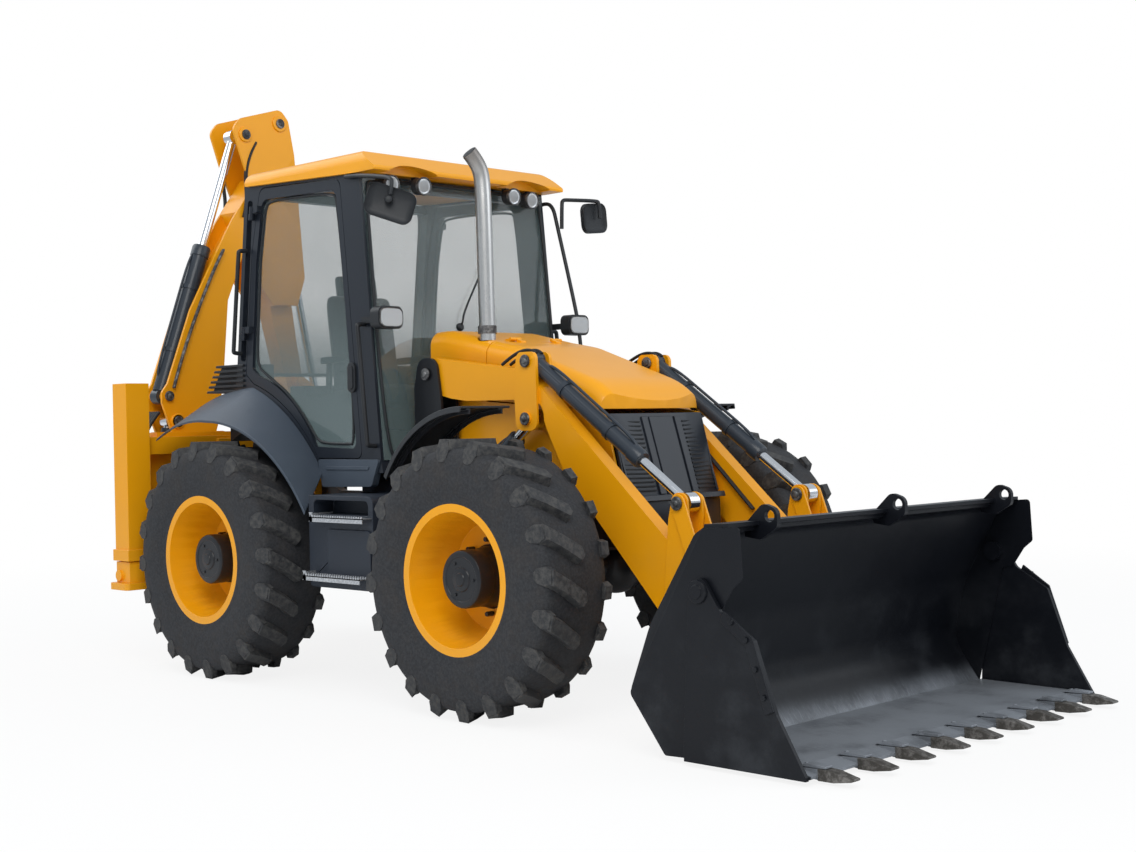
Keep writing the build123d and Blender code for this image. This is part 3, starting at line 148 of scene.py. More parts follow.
# %% Finishes, node by node
class Finish:
    """A material that is built node by node."""

    def __init__(self, name, color, roughness, metallic=0, **fixed):
        self.material = bpy.data.materials.new(name)
        self.material.use_nodes = True
        self.tree = self.material.node_tree
        self.surface = self.tree.nodes["Principled BSDF"]
        self.set("Base Color", (*color, 1))
        self.set("Roughness", roughness)
        self.set("Metallic", metallic)
        for socket, value in fixed.items():
            self.set(socket.replace("_", " "), value)
        coordinates = self.tree.nodes.new("ShaderNodeTexCoord")
        self.place = Field(self, coordinates.outputs["Object"])

    def node(self, kind, settings, *values):
        """Adds a node: its settings first, then its sockets in order."""
        made = self.tree.nodes.new(kind)
        for key, value in settings.items():
            setattr(made, key, value)
        for socket, value in zip([s for s in made.inputs if s.enabled], values):
            self.give(socket, value)
        return [Field(self, s) for s in made.outputs if s.enabled]

    def give(self, socket, value):
        if isinstance(value, Field):
            self.tree.links.new(value.socket, socket)
        else:
            socket.default_value = value

    def set(self, name, value):
        self.give(self.surface.inputs[name], value)

    def axes(self):
        """The place along x, y and z, in metres."""
        return self.node("ShaderNodeSeparateXYZ", {}, self.place)

    def noise(self, scale, detail=3, rough=0.5, stretch=(1, 1, 1)):
        where = self.node("ShaderNodeMapping", {}, self.place, (0, 0, 0), (0, 0, 0), stretch)[0]
        return self.node("ShaderNodeTexNoise", {}, where, scale, detail, rough)[0]

    def cells(self, scale):
        return self.node("ShaderNodeTexVoronoi", {"feature": "F1"}, self.place, scale)[0]

    def mix(self, share, low, high):
        """A colour between low and high."""
        made = self.tree.nodes.new("ShaderNodeMix")
        made.data_type = "RGBA"
        self.give(made.inputs[0], share)
        for socket, value in ((made.inputs[6], low), (made.inputs[7], high)):
            self.give(socket, (*value, 1) if isinstance(value, tuple) else value)
        return Field(self, made.outputs[2])

    def tint(self, share, low, high):
        self.set("Base Color", self.mix(share, low, high))

    def matt(self, roughness):
        self.set("Roughness", roughness.clamp())

    def bump(self, height, distance):
        made = self.tree.nodes.new("ShaderNodeBump")
        made.inputs["Strength"].default_value = 1
        made.inputs["Distance"].default_value = distance
        self.give(made.inputs["Height"], height)
        self.tree.links.new(made.outputs["Normal"], self.surface.inputs["Normal"])


print("finishes ready")

# %% [markdown]
# ## Enamel
# A new machine is glossy, but nothing on it is perfectly even. The yellow is a thick enamel
# with a faint orange peel, a little dust low down and in broad patches, and a clear top layer.

# %% Yellow, black and ram paint
def enamel(name, color, dust_color, roughness, dust_top):
    finish = Finish(name, color, roughness, Coat_Weight=0.1, Coat_Roughness=0.12,
                    Specular_IOR_Level=0.32)
    patches, grain = finish.noise(2.2, 4, 0.6), finish.noise(60, 3, 0.6)
    low = 1 - finish.axes()[2].between(0.1, dust_top)
    dust = (low * 0.2 + 0.012) * patches.between(0.35, 0.75) * (grain * 0.7 + 0.4)
    shade = finish.mix(patches.between(0.3, 0.8) * 0.16, color, tuple(c * 0.82 for c in color))
    finish.tint(dust.clamp(), shade, dust_color)
    finish.matt(roughness + dust * 0.5 + patches * 0.08)
    finish.bump(finish.noise(420, 2) * 0.3 + finish.noise(140, 1, 0.4), 0.00025)
    return finish


yellow = enamel("yellow_enamel", (0.9, 0.375, 0.003), (0.42, 0.3, 0.16), 0.3, 1.2)
black = enamel("black_enamel", (0.011, 0.012, 0.015), (0.08, 0.075, 0.07), 0.3, 1.2)
cab_paint = enamel("cab_black", (0.015, 0.019, 0.027), (0.1, 0.1, 0.1), 0.26, 1.3)
ram_paint = enamel("ram_blue_black", (0.03, 0.038, 0.05), (0.15, 0.14, 0.13), 0.28, 1)
print("enamels mixed")

# %% [markdown]
# Fenders and step boxes are moulded plastic, dark blue-grey, with a fine leather-like grain that
# kills the gloss. Pores come from a pattern of cells, and broad noise makes the colour uneven.

# %% Moulded plastic and hose rubber
def moulded(name, color, roughness, grain_size=700):
    finish = Finish(name, color, roughness, Specular_IOR_Level=0.35)
    broad = finish.noise(3)
    finish.tint(broad.between(0.35, 0.8) * 0.35, color, tuple(c * 1.5 + 0.008 for c in color))
    finish.matt(roughness + broad * 0.12 - 0.06)
    finish.bump(finish.cells(grain_size) * 0.8 + finish.noise(180, 2), 0.0003)
    return finish


grey_plastic = moulded("fender_plastic", (0.058, 0.074, 0.098), 0.42)
box_plastic = moulded("step_box_plastic", (0.02, 0.026, 0.038), 0.42)
plastic = moulded("black_plastic", (0.016, 0.018, 0.021), 0.45)
rubber = moulded("hose_rubber", (0.012, 0.013, 0.015), 0.5, 1500)
print("plastics mixed")

# %% [markdown]
# Bare metals: hard chrome on the piston rods, stainless steel on the exhaust, galvanised treads
# with their crystal spangle, and worn cast teeth and pins.

# %% Bare metals
chrome = Finish("rod_chrome", (0.74, 0.75, 0.77), 0.14, 1)
chrome.matt(chrome.noise(30, 3, 0.6) * 0.16 + 0.06)

stainless = Finish("exhaust_steel", (0.62, 0.61, 0.59), 0.3, 1)
smoke = stainless.axes()[2].between(2.75, 2.98)
brushed = stainless.noise(120, 4, 0.6, (1, 1, 0.05))
clean = stainless.mix(brushed, (0.66, 0.65, 0.63), (0.5, 0.49, 0.48))
stainless.tint(smoke * 0.75, clean, (0.16, 0.13, 0.11))
stainless.matt(brushed * 0.22 + 0.18 + smoke * 0.2)
stainless.bump(brushed, 0.0002)

zinc = Finish("galvanised", (0.5, 0.51, 0.53), 0.42, 0.85)
zinc.tint(zinc.cells(95).between(0, 0.9), (0.4, 0.41, 0.43), (0.62, 0.63, 0.65))
zinc.matt(zinc.noise(25) * 0.3 + 0.28)
zinc.bump(zinc.noise(300, 2), 0.0003)


def worn_cast(name, color, worn):
    finish = Finish(name, color, 0.55, 0.6)
    wear = finish.noise(26, 5, 0.7).between(0.42, 0.66)
    finish.tint(wear, color, worn)
    finish.matt(0.62 - wear * 0.22)
    finish.bump(finish.noise(160, 4, 0.6), 0.0012)
    return finish


tooth_steel = worn_cast("tooth_steel", (0.085, 0.078, 0.07), (0.24, 0.225, 0.21))
pin_steel = worn_cast("pin_steel", (0.055, 0.055, 0.058), (0.22, 0.22, 0.22))
print("metals mixed")

# %% [markdown]
# The bucket is painted black outside, but its inside has been rubbed by loads: brighter low on
# the back plate and on the floor, with long scratches that run the way the soil slides. Masks
# along x, y and z find the inside, so no second material is needed.

# %% Bucket paint
bucket = Finish("bucket_black", (0.013, 0.015, 0.019), 0.3, Specular_IOR_Level=0.22)
x, y, z = bucket.axes()
inside = x.between(2.2, 2.32) * (1 - y.size().between(1.18, 1.19)) * (1 - x.between(3.02, 3.06))
scratch = bucket.noise(14, 6, 0.75, (1, 14, 1.2)).between(0.5, 0.66)
cloud = bucket.noise(3.2, 5, 0.65)
low = 1 - z.between(0.14, 0.5)
rub = inside * low * (cloud.between(0.25, 0.6) * 0.62 + scratch * 0.25 + 0.12)
flat = inside * (1 - z.between(0.1, 0.16)) * (scratch * 0.35 + 0.28)
dust = (1 - z.between(0, 0.9)) * cloud.between(0.45, 0.75) * 0.08
bucket.tint((rub + flat + dust).clamp(), (0.006, 0.007, 0.01), (0.27, 0.29, 0.32))
bucket.set("Metallic", (rub * 0.4).clamp())
bucket.matt(0.26 + cloud * 0.22 + dust * 1.2)
bucket.bump(bucket.noise(90) * 0.5 + scratch * 0.15, 0.0006)
print("bucket paint mixed")

# %% [markdown]
# Rubber is matt and never quite black. Mud has dried brown on the sidewalls and the lugs are
# rubbed paler where they touch the ground.

# %% Tyre rubber
sidewall = Finish("tyre_rubber", (0.03, 0.031, 0.034), 0.72, Specular_IOR_Level=0.35)
mud = sidewall.noise(9, 6, 0.7).between(0.42, 0.72)
fine = sidewall.noise(75, 4, 0.65)
shade = sidewall.mix(fine.between(0.3, 0.75), (0.018, 0.019, 0.022), (0.037, 0.038, 0.042))
sidewall.tint(mud * 0.22, shade, (0.09, 0.075, 0.062))
sidewall.matt(0.66 + mud * 0.2 + fine * 0.1)
sidewall.bump(fine + sidewall.noise(240, 2) * 0.4, 0.0008)

tread = Finish("lug_rubber", (0.05, 0.05, 0.053), 0.68, Specular_IOR_Level=0.35)
scuff = tread.noise(34, 5, 0.7).between(0.35, 0.7)
tread.tint(scuff, (0.026, 0.027, 0.03), (0.078, 0.076, 0.073))
tread.matt(0.6 + scuff * 0.25)
tread.bump(tread.noise(150), 0.001)
print("rubber mixed")

# %% [markdown]
# Cab glass is thin and faintly green. It is mostly see-through at the top, where its alpha is
# low, and hides more towards the bottom. Its shine comes from a smooth surface.

# %% Glass
def pane(name, color, low_alpha, top_alpha):
    finish = Finish(name, color, 0.02, Specular_IOR_Level=0.7, Coat_Weight=0.4,
                    Coat_Roughness=0.02)
    smear = finish.noise(3, 3, 0.6)
    finish.matt(smear * 0.03 + 0.02)
    clearing = finish.axes()[2].between(1.3, 2.3) * (top_alpha - low_alpha)
    finish.set("Alpha", (low_alpha + clearing + smear * 0.06).clamp())
    return finish


cab_pane = pane("cab_glass_tint", (0.15, 0.2, 0.2), 0.7, 0.2)
lens_glass = pane("lens_glass", (0.85, 0.88, 0.9), 0.3, 0.3)
print("glass mixed")

# %% [markdown]
# A mirror is a metal with almost no roughness. The seat's cloth is two crossed noises, each
# stretched along one thread, under a soft sheen.

# %% Mirror and cloth
silver = Finish("mirror_silver", (0.82, 0.84, 0.86), 0.04, 1)
silver.matt(silver.noise(8) * 0.05 + 0.02)

cloth = Finish("seat_cloth", (0.045, 0.047, 0.052), 0.85, Sheen_Weight=0.3, Sheen_Roughness=0.5)
weave = (cloth.noise(900, 1, 0.5, (1, 0.2, 1)) + cloth.noise(900, 1, 0.5, (0.2, 1, 0.2))) * 0.5
cloth.tint(weave.between(0.35, 0.65), (0.03, 0.032, 0.036), (0.075, 0.078, 0.085))
cloth.bump(weave, 0.0006)
print("mirror and cloth mixed")

# %% [markdown]
# ## Dressing the solids
# The solids have razor edges. On real plates every edge is ground or rolled a little, and that
# small round is what catches the light. A copy of each solid is welded, its flat areas are
# merged, and a Bevel modifier rounds what is left.

# %% Rolled edges
CARRIER = {node: body for body, nodes in frame["record"]["behaviour"]["bodies"].items()
           for node in nodes}


def shown(name, bm, finish, body, width, angle, segments=2):
    """Makes a mesh a piece of one body, and rolls its edges that are sharper than angle."""
    mesh = bpy.data.meshes.new(name)
    bm.to_mesh(mesh)
    bm.free()
    mesh.materials.append(finish.material)
    made = linked(name, mesh)
    mesh.shade_smooth()
    mesh.set_sharp_from_angle(angle=math.radians(angle))
    if width:
        edges = made.modifiers.new("rolled edges", "BEVEL")
        edges.width, edges.segments, edges.limit_method = mm(width), segments, "ANGLE"
        edges.angle_limit = math.radians(angle)
        edges.harden_normals = True
    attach(made, body)
    return made


def painted(node, finish):
    """Gives a solid its finish."""
    mesh = frame["nodes"][node].data
    mesh.materials.clear()
    mesh.materials.append(finish.material)


def dressed(node, finish, width, behind=None):
    """A copy of a solid in its place, or only of what lies behind a place along x."""
    bm = bmesh.new()
    bm.from_mesh(frame["nodes"][node].data)
    bmesh.ops.remove_doubles(bm, verts=bm.verts, dist=2e-5)
    if behind is not None:
        ahead = [vert for vert in bm.verts if vert.co.x > at(behind, 0, 0).x]
        bmesh.ops.delete(bm, geom=ahead, context="VERTS")
    bmesh.ops.dissolve_limit(bm, angle_limit=math.radians(1), verts=bm.verts, edges=bm.edges)
    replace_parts(shown(node + "_dressed", bm, finish, CARRIER[node], width, 32), node)
    painted(node, finish)


print("solids to dress:", len(CARRIER))

# %% [markdown]
# One table says which finish each solid gets and how round its edges are. Rods, glass, tyres
# and what is modelled anew further down need no round, so they are only painted.

# %% Dress and paint
DRESSED = (
    (yellow, 3, "rear_frame cowl bonnet cab_roof loader_arms tipping_levers tipping_links "
     "shift_carriage kingpost boom dipper dig_rocker dig_link stabilizer_leg_right "
     "stabilizer_leg_left"),
    (bucket, 2, "bucket_shell bucket_clam"),
    (black, 2.5, "chassis axles dig_bucket"),
    (cab_paint, 3, "cab_frame door_right door_left grille"),
    (box_plastic, 4, "step_boxes"),
    (plastic, 3, "cab_interior lamps"),
    (ram_paint, 2, "lift_ram_barrels tip_ram_barrels boom_ram_barrel dipper_ram_barrel "
     "dig_ram_barrel"))
PAINTED = (
    (chrome, "lift_ram_rods tip_ram_rods boom_ram_rod dipper_ram_rod dig_ram_rod"),
    (black, "driveline"), (stainless, "exhaust_stack"), (zinc, "steps"),
    (plastic, "mirrors"), (cloth, "seat"),
    (cab_pane, "cab_glass door_glass_right door_glass_left"))
REAR_FENDERS = 1200            # the front fenders lie ahead of this and are modelled anew

for finish, width, nodes in DRESSED:
    for node in nodes.split():
        dressed(node, finish, width)
dressed("fenders", grey_plastic, 4, behind=REAR_FENDERS)
for finish, nodes in PAINTED:
    for node in nodes.split():
        painted(node, finish)
for wheel, x, s in WHEELS:
    dressed("rim_" + wheel, yellow, 2)
    dressed("knuckle_" + wheel, black, 2)
    painted("tyre_" + wheel, sidewall)
print("solids dressed")

# %% [markdown]
# ## Small tools for small forms
# Nearly every fitting is either a plate that was cut and bent, or something round that was
# turned on a lathe. A plate is one face that is extruded; a turned part is a row of points that
# is spun about an axis.

# %% Plates and lathe shapes
PLANES = {"xz": (0, 2, 1), "yz": (1, 2, 0), "xy": (0, 1, 2)}


def plate(bm, outline, low, high, corner=0, steps=4, plane="xz"):
    """An outline in one plane, in millimetres, from low to high across it."""
    a, b, across = PLANES[plane]
    low, high = sorted((low, high))
    corners = []
    for first, second in outline:
        spot = [0, 0, 0]
        spot[a], spot[b], spot[across] = first, second, low
        corners.append(bm.verts.new(at(*spot)))
    grown = bmesh.ops.extrude_face_region(bm, geom=[bm.faces.new(corners)])
    fresh = [item for item in grown["geom"] if isinstance(item, bmesh.types.BMVert)]
    push = Vector((0, 0, 0))
    push[across] = mm(high - low)
    bmesh.ops.translate(bm, vec=push, verts=fresh)
    if corner:
        sides = [edge for vert in corners for edge in vert.link_edges
                 if edge.other_vert(vert) in fresh]
        fresh += bmesh.ops.bevel(bm, geom=sides, offset=mm(corner), segments=steps, profile=0.5,
                                 affect="EDGES", material=-1)["verts"]
    return [vert for vert in set(corners + fresh) if vert.is_valid]


def turned(bm, profile, centre, axis, steps=28):
    """A lathe shape: (along, radius) stations in millimetres about an axis through centre."""
    axis = Vector(axis).normalized()
    aside = axis.orthogonal().normalized()
    middle = at(*centre)
    points = [bm.verts.new(middle + axis * mm(along) + aside * mm(radius))
              for along, radius in profile]
    lines = [bm.edges.new(pair) for pair in zip(points, points[1:])]
    bmesh.ops.spin(bm, geom=points + lines, cent=middle, axis=axis, angle=math.tau, steps=steps,
                   use_merge=True)


def bolt(bm, size, low, high, spot, way):
    """A six-sided head from low to high along its way."""
    turned(bm, [(low, 0), (low, size), (high, size), (high, 0)], spot, way, 6)


def rectangle(a, b, half_a, half_b):
    """The outline of a rectangle about the place a, b."""
    return [(a + i * half_a, b + j * half_b) for i, j in ((-1, -1), (1, -1), (1, 1), (-1, 1))]


def span(a0, b0, a1, b1):
    """The outline of a rectangle from one corner to the other."""
    return [(a0, b0), (a0, b1), (a1, b1), (a1, b0)]


print("planes:", *PLANES)

# %% [markdown]
# Two tools choose and shape a part of a mesh, and two finish a piece. A mesh is welded and its
# faces are turned outwards before its edges are rolled. Hoses and rods are smooth round lines.

# %% Insets, pieces and pipes
def faces_at(verts, axis, place):
    """The faces of these corners whose middles lie level with a place along one axis."""
    faces = {face for vert in verts for face in vert.link_faces}
    return [face for face in faces if abs(face.calc_center_median()[axis] - place[axis]) < 1e-6]


def stepped(bm, faces, thickness, depth):
    """Insets faces and raises them by depth. Returns the corners that this adds."""
    before = set(bm.verts)
    bmesh.ops.inset_region(bm, faces=faces, thickness=mm(thickness), depth=mm(depth))
    return [vert for vert in bm.verts if vert not in before]


def piece(name, bm, finish, width, body="machine", angle=35, segments=2):
    """Closes a mesh and puts it on its body, with its edges rolled by width."""
    bmesh.ops.remove_doubles(bm, verts=bm.verts, dist=1e-5)
    bmesh.ops.recalc_face_normals(bm, faces=bm.faces)
    return shown(name, bm, finish, body, width, angle, segments)


def pipes(name, routes, radius, finish, body="machine", order=3):
    """Round hoses or rods: each route is a list of places that one smooth line follows."""
    data = bpy.data.curves.new(name, "CURVE")
    data.dimensions, data.resolution_u = "3D", 6
    data.bevel_depth, data.bevel_resolution, data.use_fill_caps = mm(radius), 3, True
    for route in routes:
        line = data.splines.new("NURBS")
        line.points.add(len(route) - 1)
        for point, place in zip(line.points, route):
            point.co = (*at(*place), 1)
        line.order_u, line.use_endpoint_u = order, True
    data.materials.append(finish.material)
    made = linked(name, data)
    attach(made, body)
    return made


print("tools ready")

# %% [markdown]
# ## Tyres
# An industrial tyre has a round, smooth carcass and tall slanted lugs that meet in a V along
# the middle. The carcass is one spun profile. One lug is a plate with a buttress down the
# sidewall; twenty copies are turned about the axle, and the other half is shifted by half a step.

# %% One lug
LUG_COUNT = 20
LUG_FOOT, LUG_HEIGHT, LUG_DRAFT = 634, 51, 13      # its draft narrows the top on every side
LUG_BAR = [(-98, 207), (-6, 207), (40, 122), (116, 2), (84, -36), (30, -28), (-40, 82)]
BUTTRESS = [(-98, 640), (-84, 680), (-20, 680), (-6, 640), (-20, 596), (-40, 578), (-68, 578),
            (-88, 596)]
SHOULDER, BUTTRESS_FOOT, BUTTRESS_LEAN = 222, 582, 11     # y and z of its foot, and degrees


def one_lug(bm, half):
    """A bar with sloping flanks from the shoulder past the middle, and its buttress."""
    top = LUG_FOOT + 4
    verts = plate(bm, [(x, half * y) for x, y in LUG_BAR], LUG_FOOT, top, plane="xy")
    verts += stepped(bm, faces_at(verts, 2, at(0, 0, top)), LUG_DRAFT, LUG_HEIGHT)
    buttress = plate(bm, BUTTRESS, half * 180, half * SHOULDER)
    bmesh.ops.rotate(bm, cent=at(0, half * SHOULDER, BUTTRESS_FOOT), verts=buttress,
                     matrix=turn(half * BUTTRESS_LEAN, "X"))
    return verts + buttress


def roll(bm, geometry, steps):
    """Turns corners about the axle by a number of lugs."""
    verts = [item for item in geometry if isinstance(item, bmesh.types.BMVert)]
    bmesh.ops.rotate(bm, cent=at(0, 0, 0), matrix=turn(360 * steps / LUG_COUNT, "Y"), verts=verts)


def ring_of_lugs():
    """All the lugs of one tyre, about a wheel at the rear axle's middle."""
    bm = bmesh.new()
    for half, shift in ((1, 0.5), (-1, 0)):
        seed = one_lug(bm, half)
        roll(bm, seed, shift)
        copy = seed + list({item for vert in seed for item in (*vert.link_edges, *vert.link_faces)})
        for _ in range(LUG_COUNT - 1):
            copy = bmesh.ops.duplicate(bm, geom=copy)["geom"]
            roll(bm, copy, 1)
    return bm


print("lugs on a tyre:", 2 * LUG_COUNT)

# %% [markdown]
# The carcass's profile is written from the middle of the tread to the bead, and mirrored.

# %% Carcass and tread of each tyre
HALF_PROFILE = [(0, 653), (160, 650), (194, 642), (209, 624), (218, 590), (221, 545), (220, 480),
                (214, 424), (206, 400), (208, 386), (203, 366), (186, 350)]
CARCASS = [(-y, r) for y, r in HALF_PROFILE[:0:-1]] + HALF_PROFILE + [(-186, 350)]

for wheel, x, s in WHEELS:
    carcass = bmesh.new()
    turned(carcass, CARCASS, (x, s * TRACK_HALF, AXLE_Z), (0, 1, 0), 72)
    lugs = ring_of_lugs()
    bmesh.ops.translate(lugs, vec=Vector((x, s * TRACK_HALF, AXLE_Z)) / 1000, verts=lugs.verts)
    for made in (piece("tyre_carcass_" + wheel, carcass, sidewall, 0, "wheel_" + wheel, 50),
                 piece("tyre_lugs_" + wheel, lugs, tread, 3, "wheel_" + wheel, 25)):
        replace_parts(made, "tyre_" + wheel)
print("tyres made")

# %% [markdown]
# The wheel turns on a black planetary hub: a stepped drum with a bolted end cover, set in the
# yellow disc in a ring of wheel nuts. The rim's rolled edge and the valve are turned too.

# %% Hubs and rims
HUB = [(-58, 0), (-58, 158), (-44, 162), (-38, 154), (20, 146), (30, 140), (60, 138), (64, 144),
       (140, 144), (150, 140), (155, 130), (155, 112), (151, 108), (151, 62), (157, 58), (160, 34),
       (166, 30), (168, 0)]
RIM_EDGE = [(-186, 330), (-176, 338), (170, 338), (186, 350), (200, 362), (206, 378), (200, 384),
            (192, 380), (186, 360), (160, 346), (-160, 346), (-186, 346), (-186, 330)]
VALVE = [(0, 0), (0, 9), (44, 7), (46, 5), (60, 5), (60, 0)]
HUB_BOLTS = ((8, 186, 13, -56, -10), (3, 88, 9, 148, 157))     # count, ring, size, foot, head

for wheel, x, s in WHEELS:
    y = s * TRACK_HALF
    bm = bmesh.new()
    turned(bm, HUB, (x, y, AXLE_Z), (0, s, 0), 48)
    for count, ring, size, foot, head in HUB_BOLTS:
        for i in range(count):
            angle = math.tau * i / count
            spot = (x + ring * math.cos(angle), y, AXLE_Z + ring * math.sin(angle))
            bolt(bm, size, foot, head, spot, (0, s, 0))
    piece("hub_" + wheel, bm, black, 1.5, "wheel_" + wheel)
    bm = bmesh.new()
    turned(bm, RIM_EDGE, (x, y, AXLE_Z), (0, s, 0), 64)
    turned(bm, VALVE, (x + 250, y + s * 20, AXLE_Z + 170), (0.2, s, 0.1), 12)
    piece("rim_edge_" + wheel, bm, yellow, 1.5, "wheel_" + wheel)
print("hubs made")

# %% [markdown]
# ## Pins
# Each joint of the arms turns on a hardened pin that is kept by a round head with one bolt.
# They are turned shapes from one table, a short row for each line of pins.

# %% Pin heads
# the rams' ends: x and z on the loader's arms, y and z on the digging arm
TIP_FOOT, TIP_EYE, LIFT_FOOT, LIFT_EYE = (2113, 1762), (3141, 1044), (1330, 880), (2110, 1462)
DIPPER_FOOT, DIPPER_EYE, DIG_FOOT, DIG_EYE = (-590, 1667), (30, 3463), (314, 3569), (640, 1600)
BOOM_FOOT, ELBOW, BOOM_RAM_EYE = (-440, 930), (225, 3120), (-525, 1500)
PIN_HEAD = [(-2, 0), (-2, 34), (5, 34), (9, 30), (9, 17), (14, 15), (16, 12), (16, 0)]
ACROSS_PINS = (          # body, place, distance of the heads from the arm's middle plane
    ("machine", (1325, 1720), 74), ("machine", LIFT_FOOT, 74), ("loader_arms", TIP_FOOT, 70),
    ("loader_arms", LIFT_EYE, 74), ("tipping_levers", (3080, 600), 60),
    ("tipping_levers", TIP_EYE, 84), ("loader_bucket", (3360, 450), 98),
    ("loader_bucket", (3325, 330), 60))
ALONG_PINS = (           # body, place, distance of the heads from the digging arm's plane
    ("kingpost", BOOM_FOOT, 160), ("kingpost", (-610, 1060), 160), ("boom", ELBOW, 162),
    ("boom", DIPPER_FOOT, 122), ("boom", BOOM_RAM_EYE, 122), ("dipper", DIPPER_EYE, 162),
    ("dipper", DIG_FOOT, 162))

bodies = dict.fromkeys(row[0] for row in ACROSS_PINS + ALONG_PINS)
pinned = {body: bmesh.new() for body in bodies}
for way in (-1, 1):
    for body, (x, z), reach in ACROSS_PINS:
        for side, s in SIDES:
            turned(pinned[body], PIN_HEAD, (x, s * ARM_Y + way * reach, z), (0, way, 0), 24)
    for body, (y, z), reach in ALONG_PINS:
        turned(pinned[body], PIN_HEAD, (SLEW_X + way * reach, y, z), (way, 0, 0), 24)
for body, bm in pinned.items():
    piece("pin_heads_" + body, bm, pin_steel, 1, body)
print("bodies with pin heads:", len(pinned))

# %% [markdown]
# ## Lamps
# Four work lamps hang under the roof's brow, and a headlamp stands on each side of the cab. Each
# is a black housing with a bright ring and a clear, slightly domed lens over a mirror bowl.

# %% Lamp fronts
ROOF_LAMPS, ROOF_LAMP_Z = ((1074, 552), (1074, -552), (1120, 355), (1120, -355)), 2802
HEADLAMP_Y, HEADLAMP_Z, HEADLAMP_FRONT = 740, 2034, 1277
RING = [(-18, 49), (-4, 53), (6, 52), (8, 46), (2, 43), (-2, 43), (-18, 49)]
BOWL = [(0, 43), (1, 40), (-4, 30), (-8, 16), (-9, 0)]
LENS = [(3, 44), (7, 34), (10, 18), (11, 0)]

ring, bowl, lens = bmesh.new(), bmesh.new(), bmesh.new()
for x, y in ROOF_LAMPS:
    for bm, profile, ahead in ((ring, RING, 0), (bowl, BOWL, 2), (lens, LENS, 0)):
        turned(bm, profile, (x + ahead, y, ROOF_LAMP_Z), (1, 0, -0.07), 32)
for side, s in SIDES:
    y = s * HEADLAMP_Y
    plate(bowl, rectangle(y, HEADLAMP_Z, 70, 44), 1262, 1271, 30, 6, "yz")
    plate(lens, rectangle(y, HEADLAMP_Z, 74, 48), 1273, 1279, 34, 6, "yz")
    rim = plate(ring, rectangle(y, HEADLAMP_Z, 80, 54), 1258, HEADLAMP_FRONT, 36, 6, "yz")
    stepped(ring, faces_at(rim, 0, at(HEADLAMP_FRONT, 0, 0)), 8, -6)
piece("lamp_rings", ring, pin_steel, 1)
piece("lamp_bowls", bowl, silver, 1)
piece("lamp_lenses", lens, lens_glass, 0)
print("lamp fronts made")

# %% [markdown]
# ## Front grille
# The black front panel has a plain middle with two upright creases, and beside it two vents of
# close horizontal ribs that let air through to the radiator. Everything follows the lean of the
# panel, so one function gives the panel's surface at any height.

# %% Grille ribs and frame
PANEL_TOP, PANEL_FOOT, PANEL_HALF = 1480, 1010, 362
RIB_FOOT, RIB_PITCH, RIB_COUNT = 1078, 22, 17
STRIP_FOOT, STRIP_TOP = 1062, 1462
STRIPS = ((-150, -150, -104, 14), (-92, -92, 92, 9), (104, 104, 150, 14),    # y, from, to, out
          (-345, -352, -338, 14), (345, 338, 352, 14))


def panel_x(y, z):
    """How far forward the front panel lies, bowed across and leaning out downwards."""
    share = (PANEL_TOP - z) / (PANEL_TOP - PANEL_FOOT)
    edge, middle = 2512 + 148 * share, 2552 + 148 * share
    return middle - (middle - edge) * (y / PANEL_HALF) ** 2


bm = bmesh.new()
for s in (-1, 1):
    for z in range(RIB_FOOT, RIB_FOOT + RIB_COUNT * RIB_PITCH, RIB_PITCH):
        back = [(panel_x(y, z) - 16, y) for y in (s * 168, s * 250, s * 335)]
        nose = [(panel_x(y, z) + 9, y) for y in (s * 335, s * 250, s * 168)]
        plate(bm, back + nose, z, z + 9, plane="xy")
piece("grille_ribs", bm, plastic, 1.5)
bm = bmesh.new()
for y, y0, y1, out in STRIPS:
    foot, top = panel_x(y, STRIP_FOOT), panel_x(y, STRIP_TOP)
    plate(bm, [(foot + out, STRIP_FOOT), (top + out, STRIP_TOP), (top - 8, STRIP_TOP),
               (foot - 8, STRIP_FOOT)], y0, y1)
foot, top = panel_x(0, 1040), panel_x(0, 1058)
plate(bm, [(foot + 16, 1030), (top + 14, 1058), (top - 30, 1058), (foot - 30, 1030)], -352, 352)
piece("grille_frame", bm, cab_paint, 3)
print("grille made")

# %% [markdown]
# ## Cab fittings
# Rubber seals run round each pane, grab handles stand before and behind each door, and a wiper
# rests on the windscreen. Long thin things like these are lines with a round section.

# %% Seals, handles and wiper
DOOR_PANE = [(903, 1342), (766, 2780), (72, 2806), (6, 2490), (-62, 1828), (20, 1772),
             (232, 1660), (420, 1500), (552, 1342)]
DOOR_SEAL_Y, LATCH_X, LATCH_Z = 702, 896, 1716
GRAB_RAILS = (
    [(1090, 722, 1330), (1096, 782, 1330), (1094, 784, 1350), (1030, 784, 1990),
     (1026, 782, 2010), (1018, 722, 2010)],
    [(-190, 722, 1900), (-196, 776, 1900), (-192, 778, 1920), (-120, 778, 2500),
     (-116, 776, 2520), (-112, 722, 2520)])
WINDSCREEN = [(1148, -690, 1270), (1000, -690, 2836), (1000, 690, 2836), (1148, 690, 1270)]
WIPER_ARM = [(1076, -60, 2010), (1096, -60, 2030), (1088, -40, 2100), (1062, 120, 2330),
             (1054, 160, 2400)]
REAR_WINDOW = [(-258, -690, 1775), (-134, -690, 2880), (-134, 690, 2880), (-258, 690, 1775)]


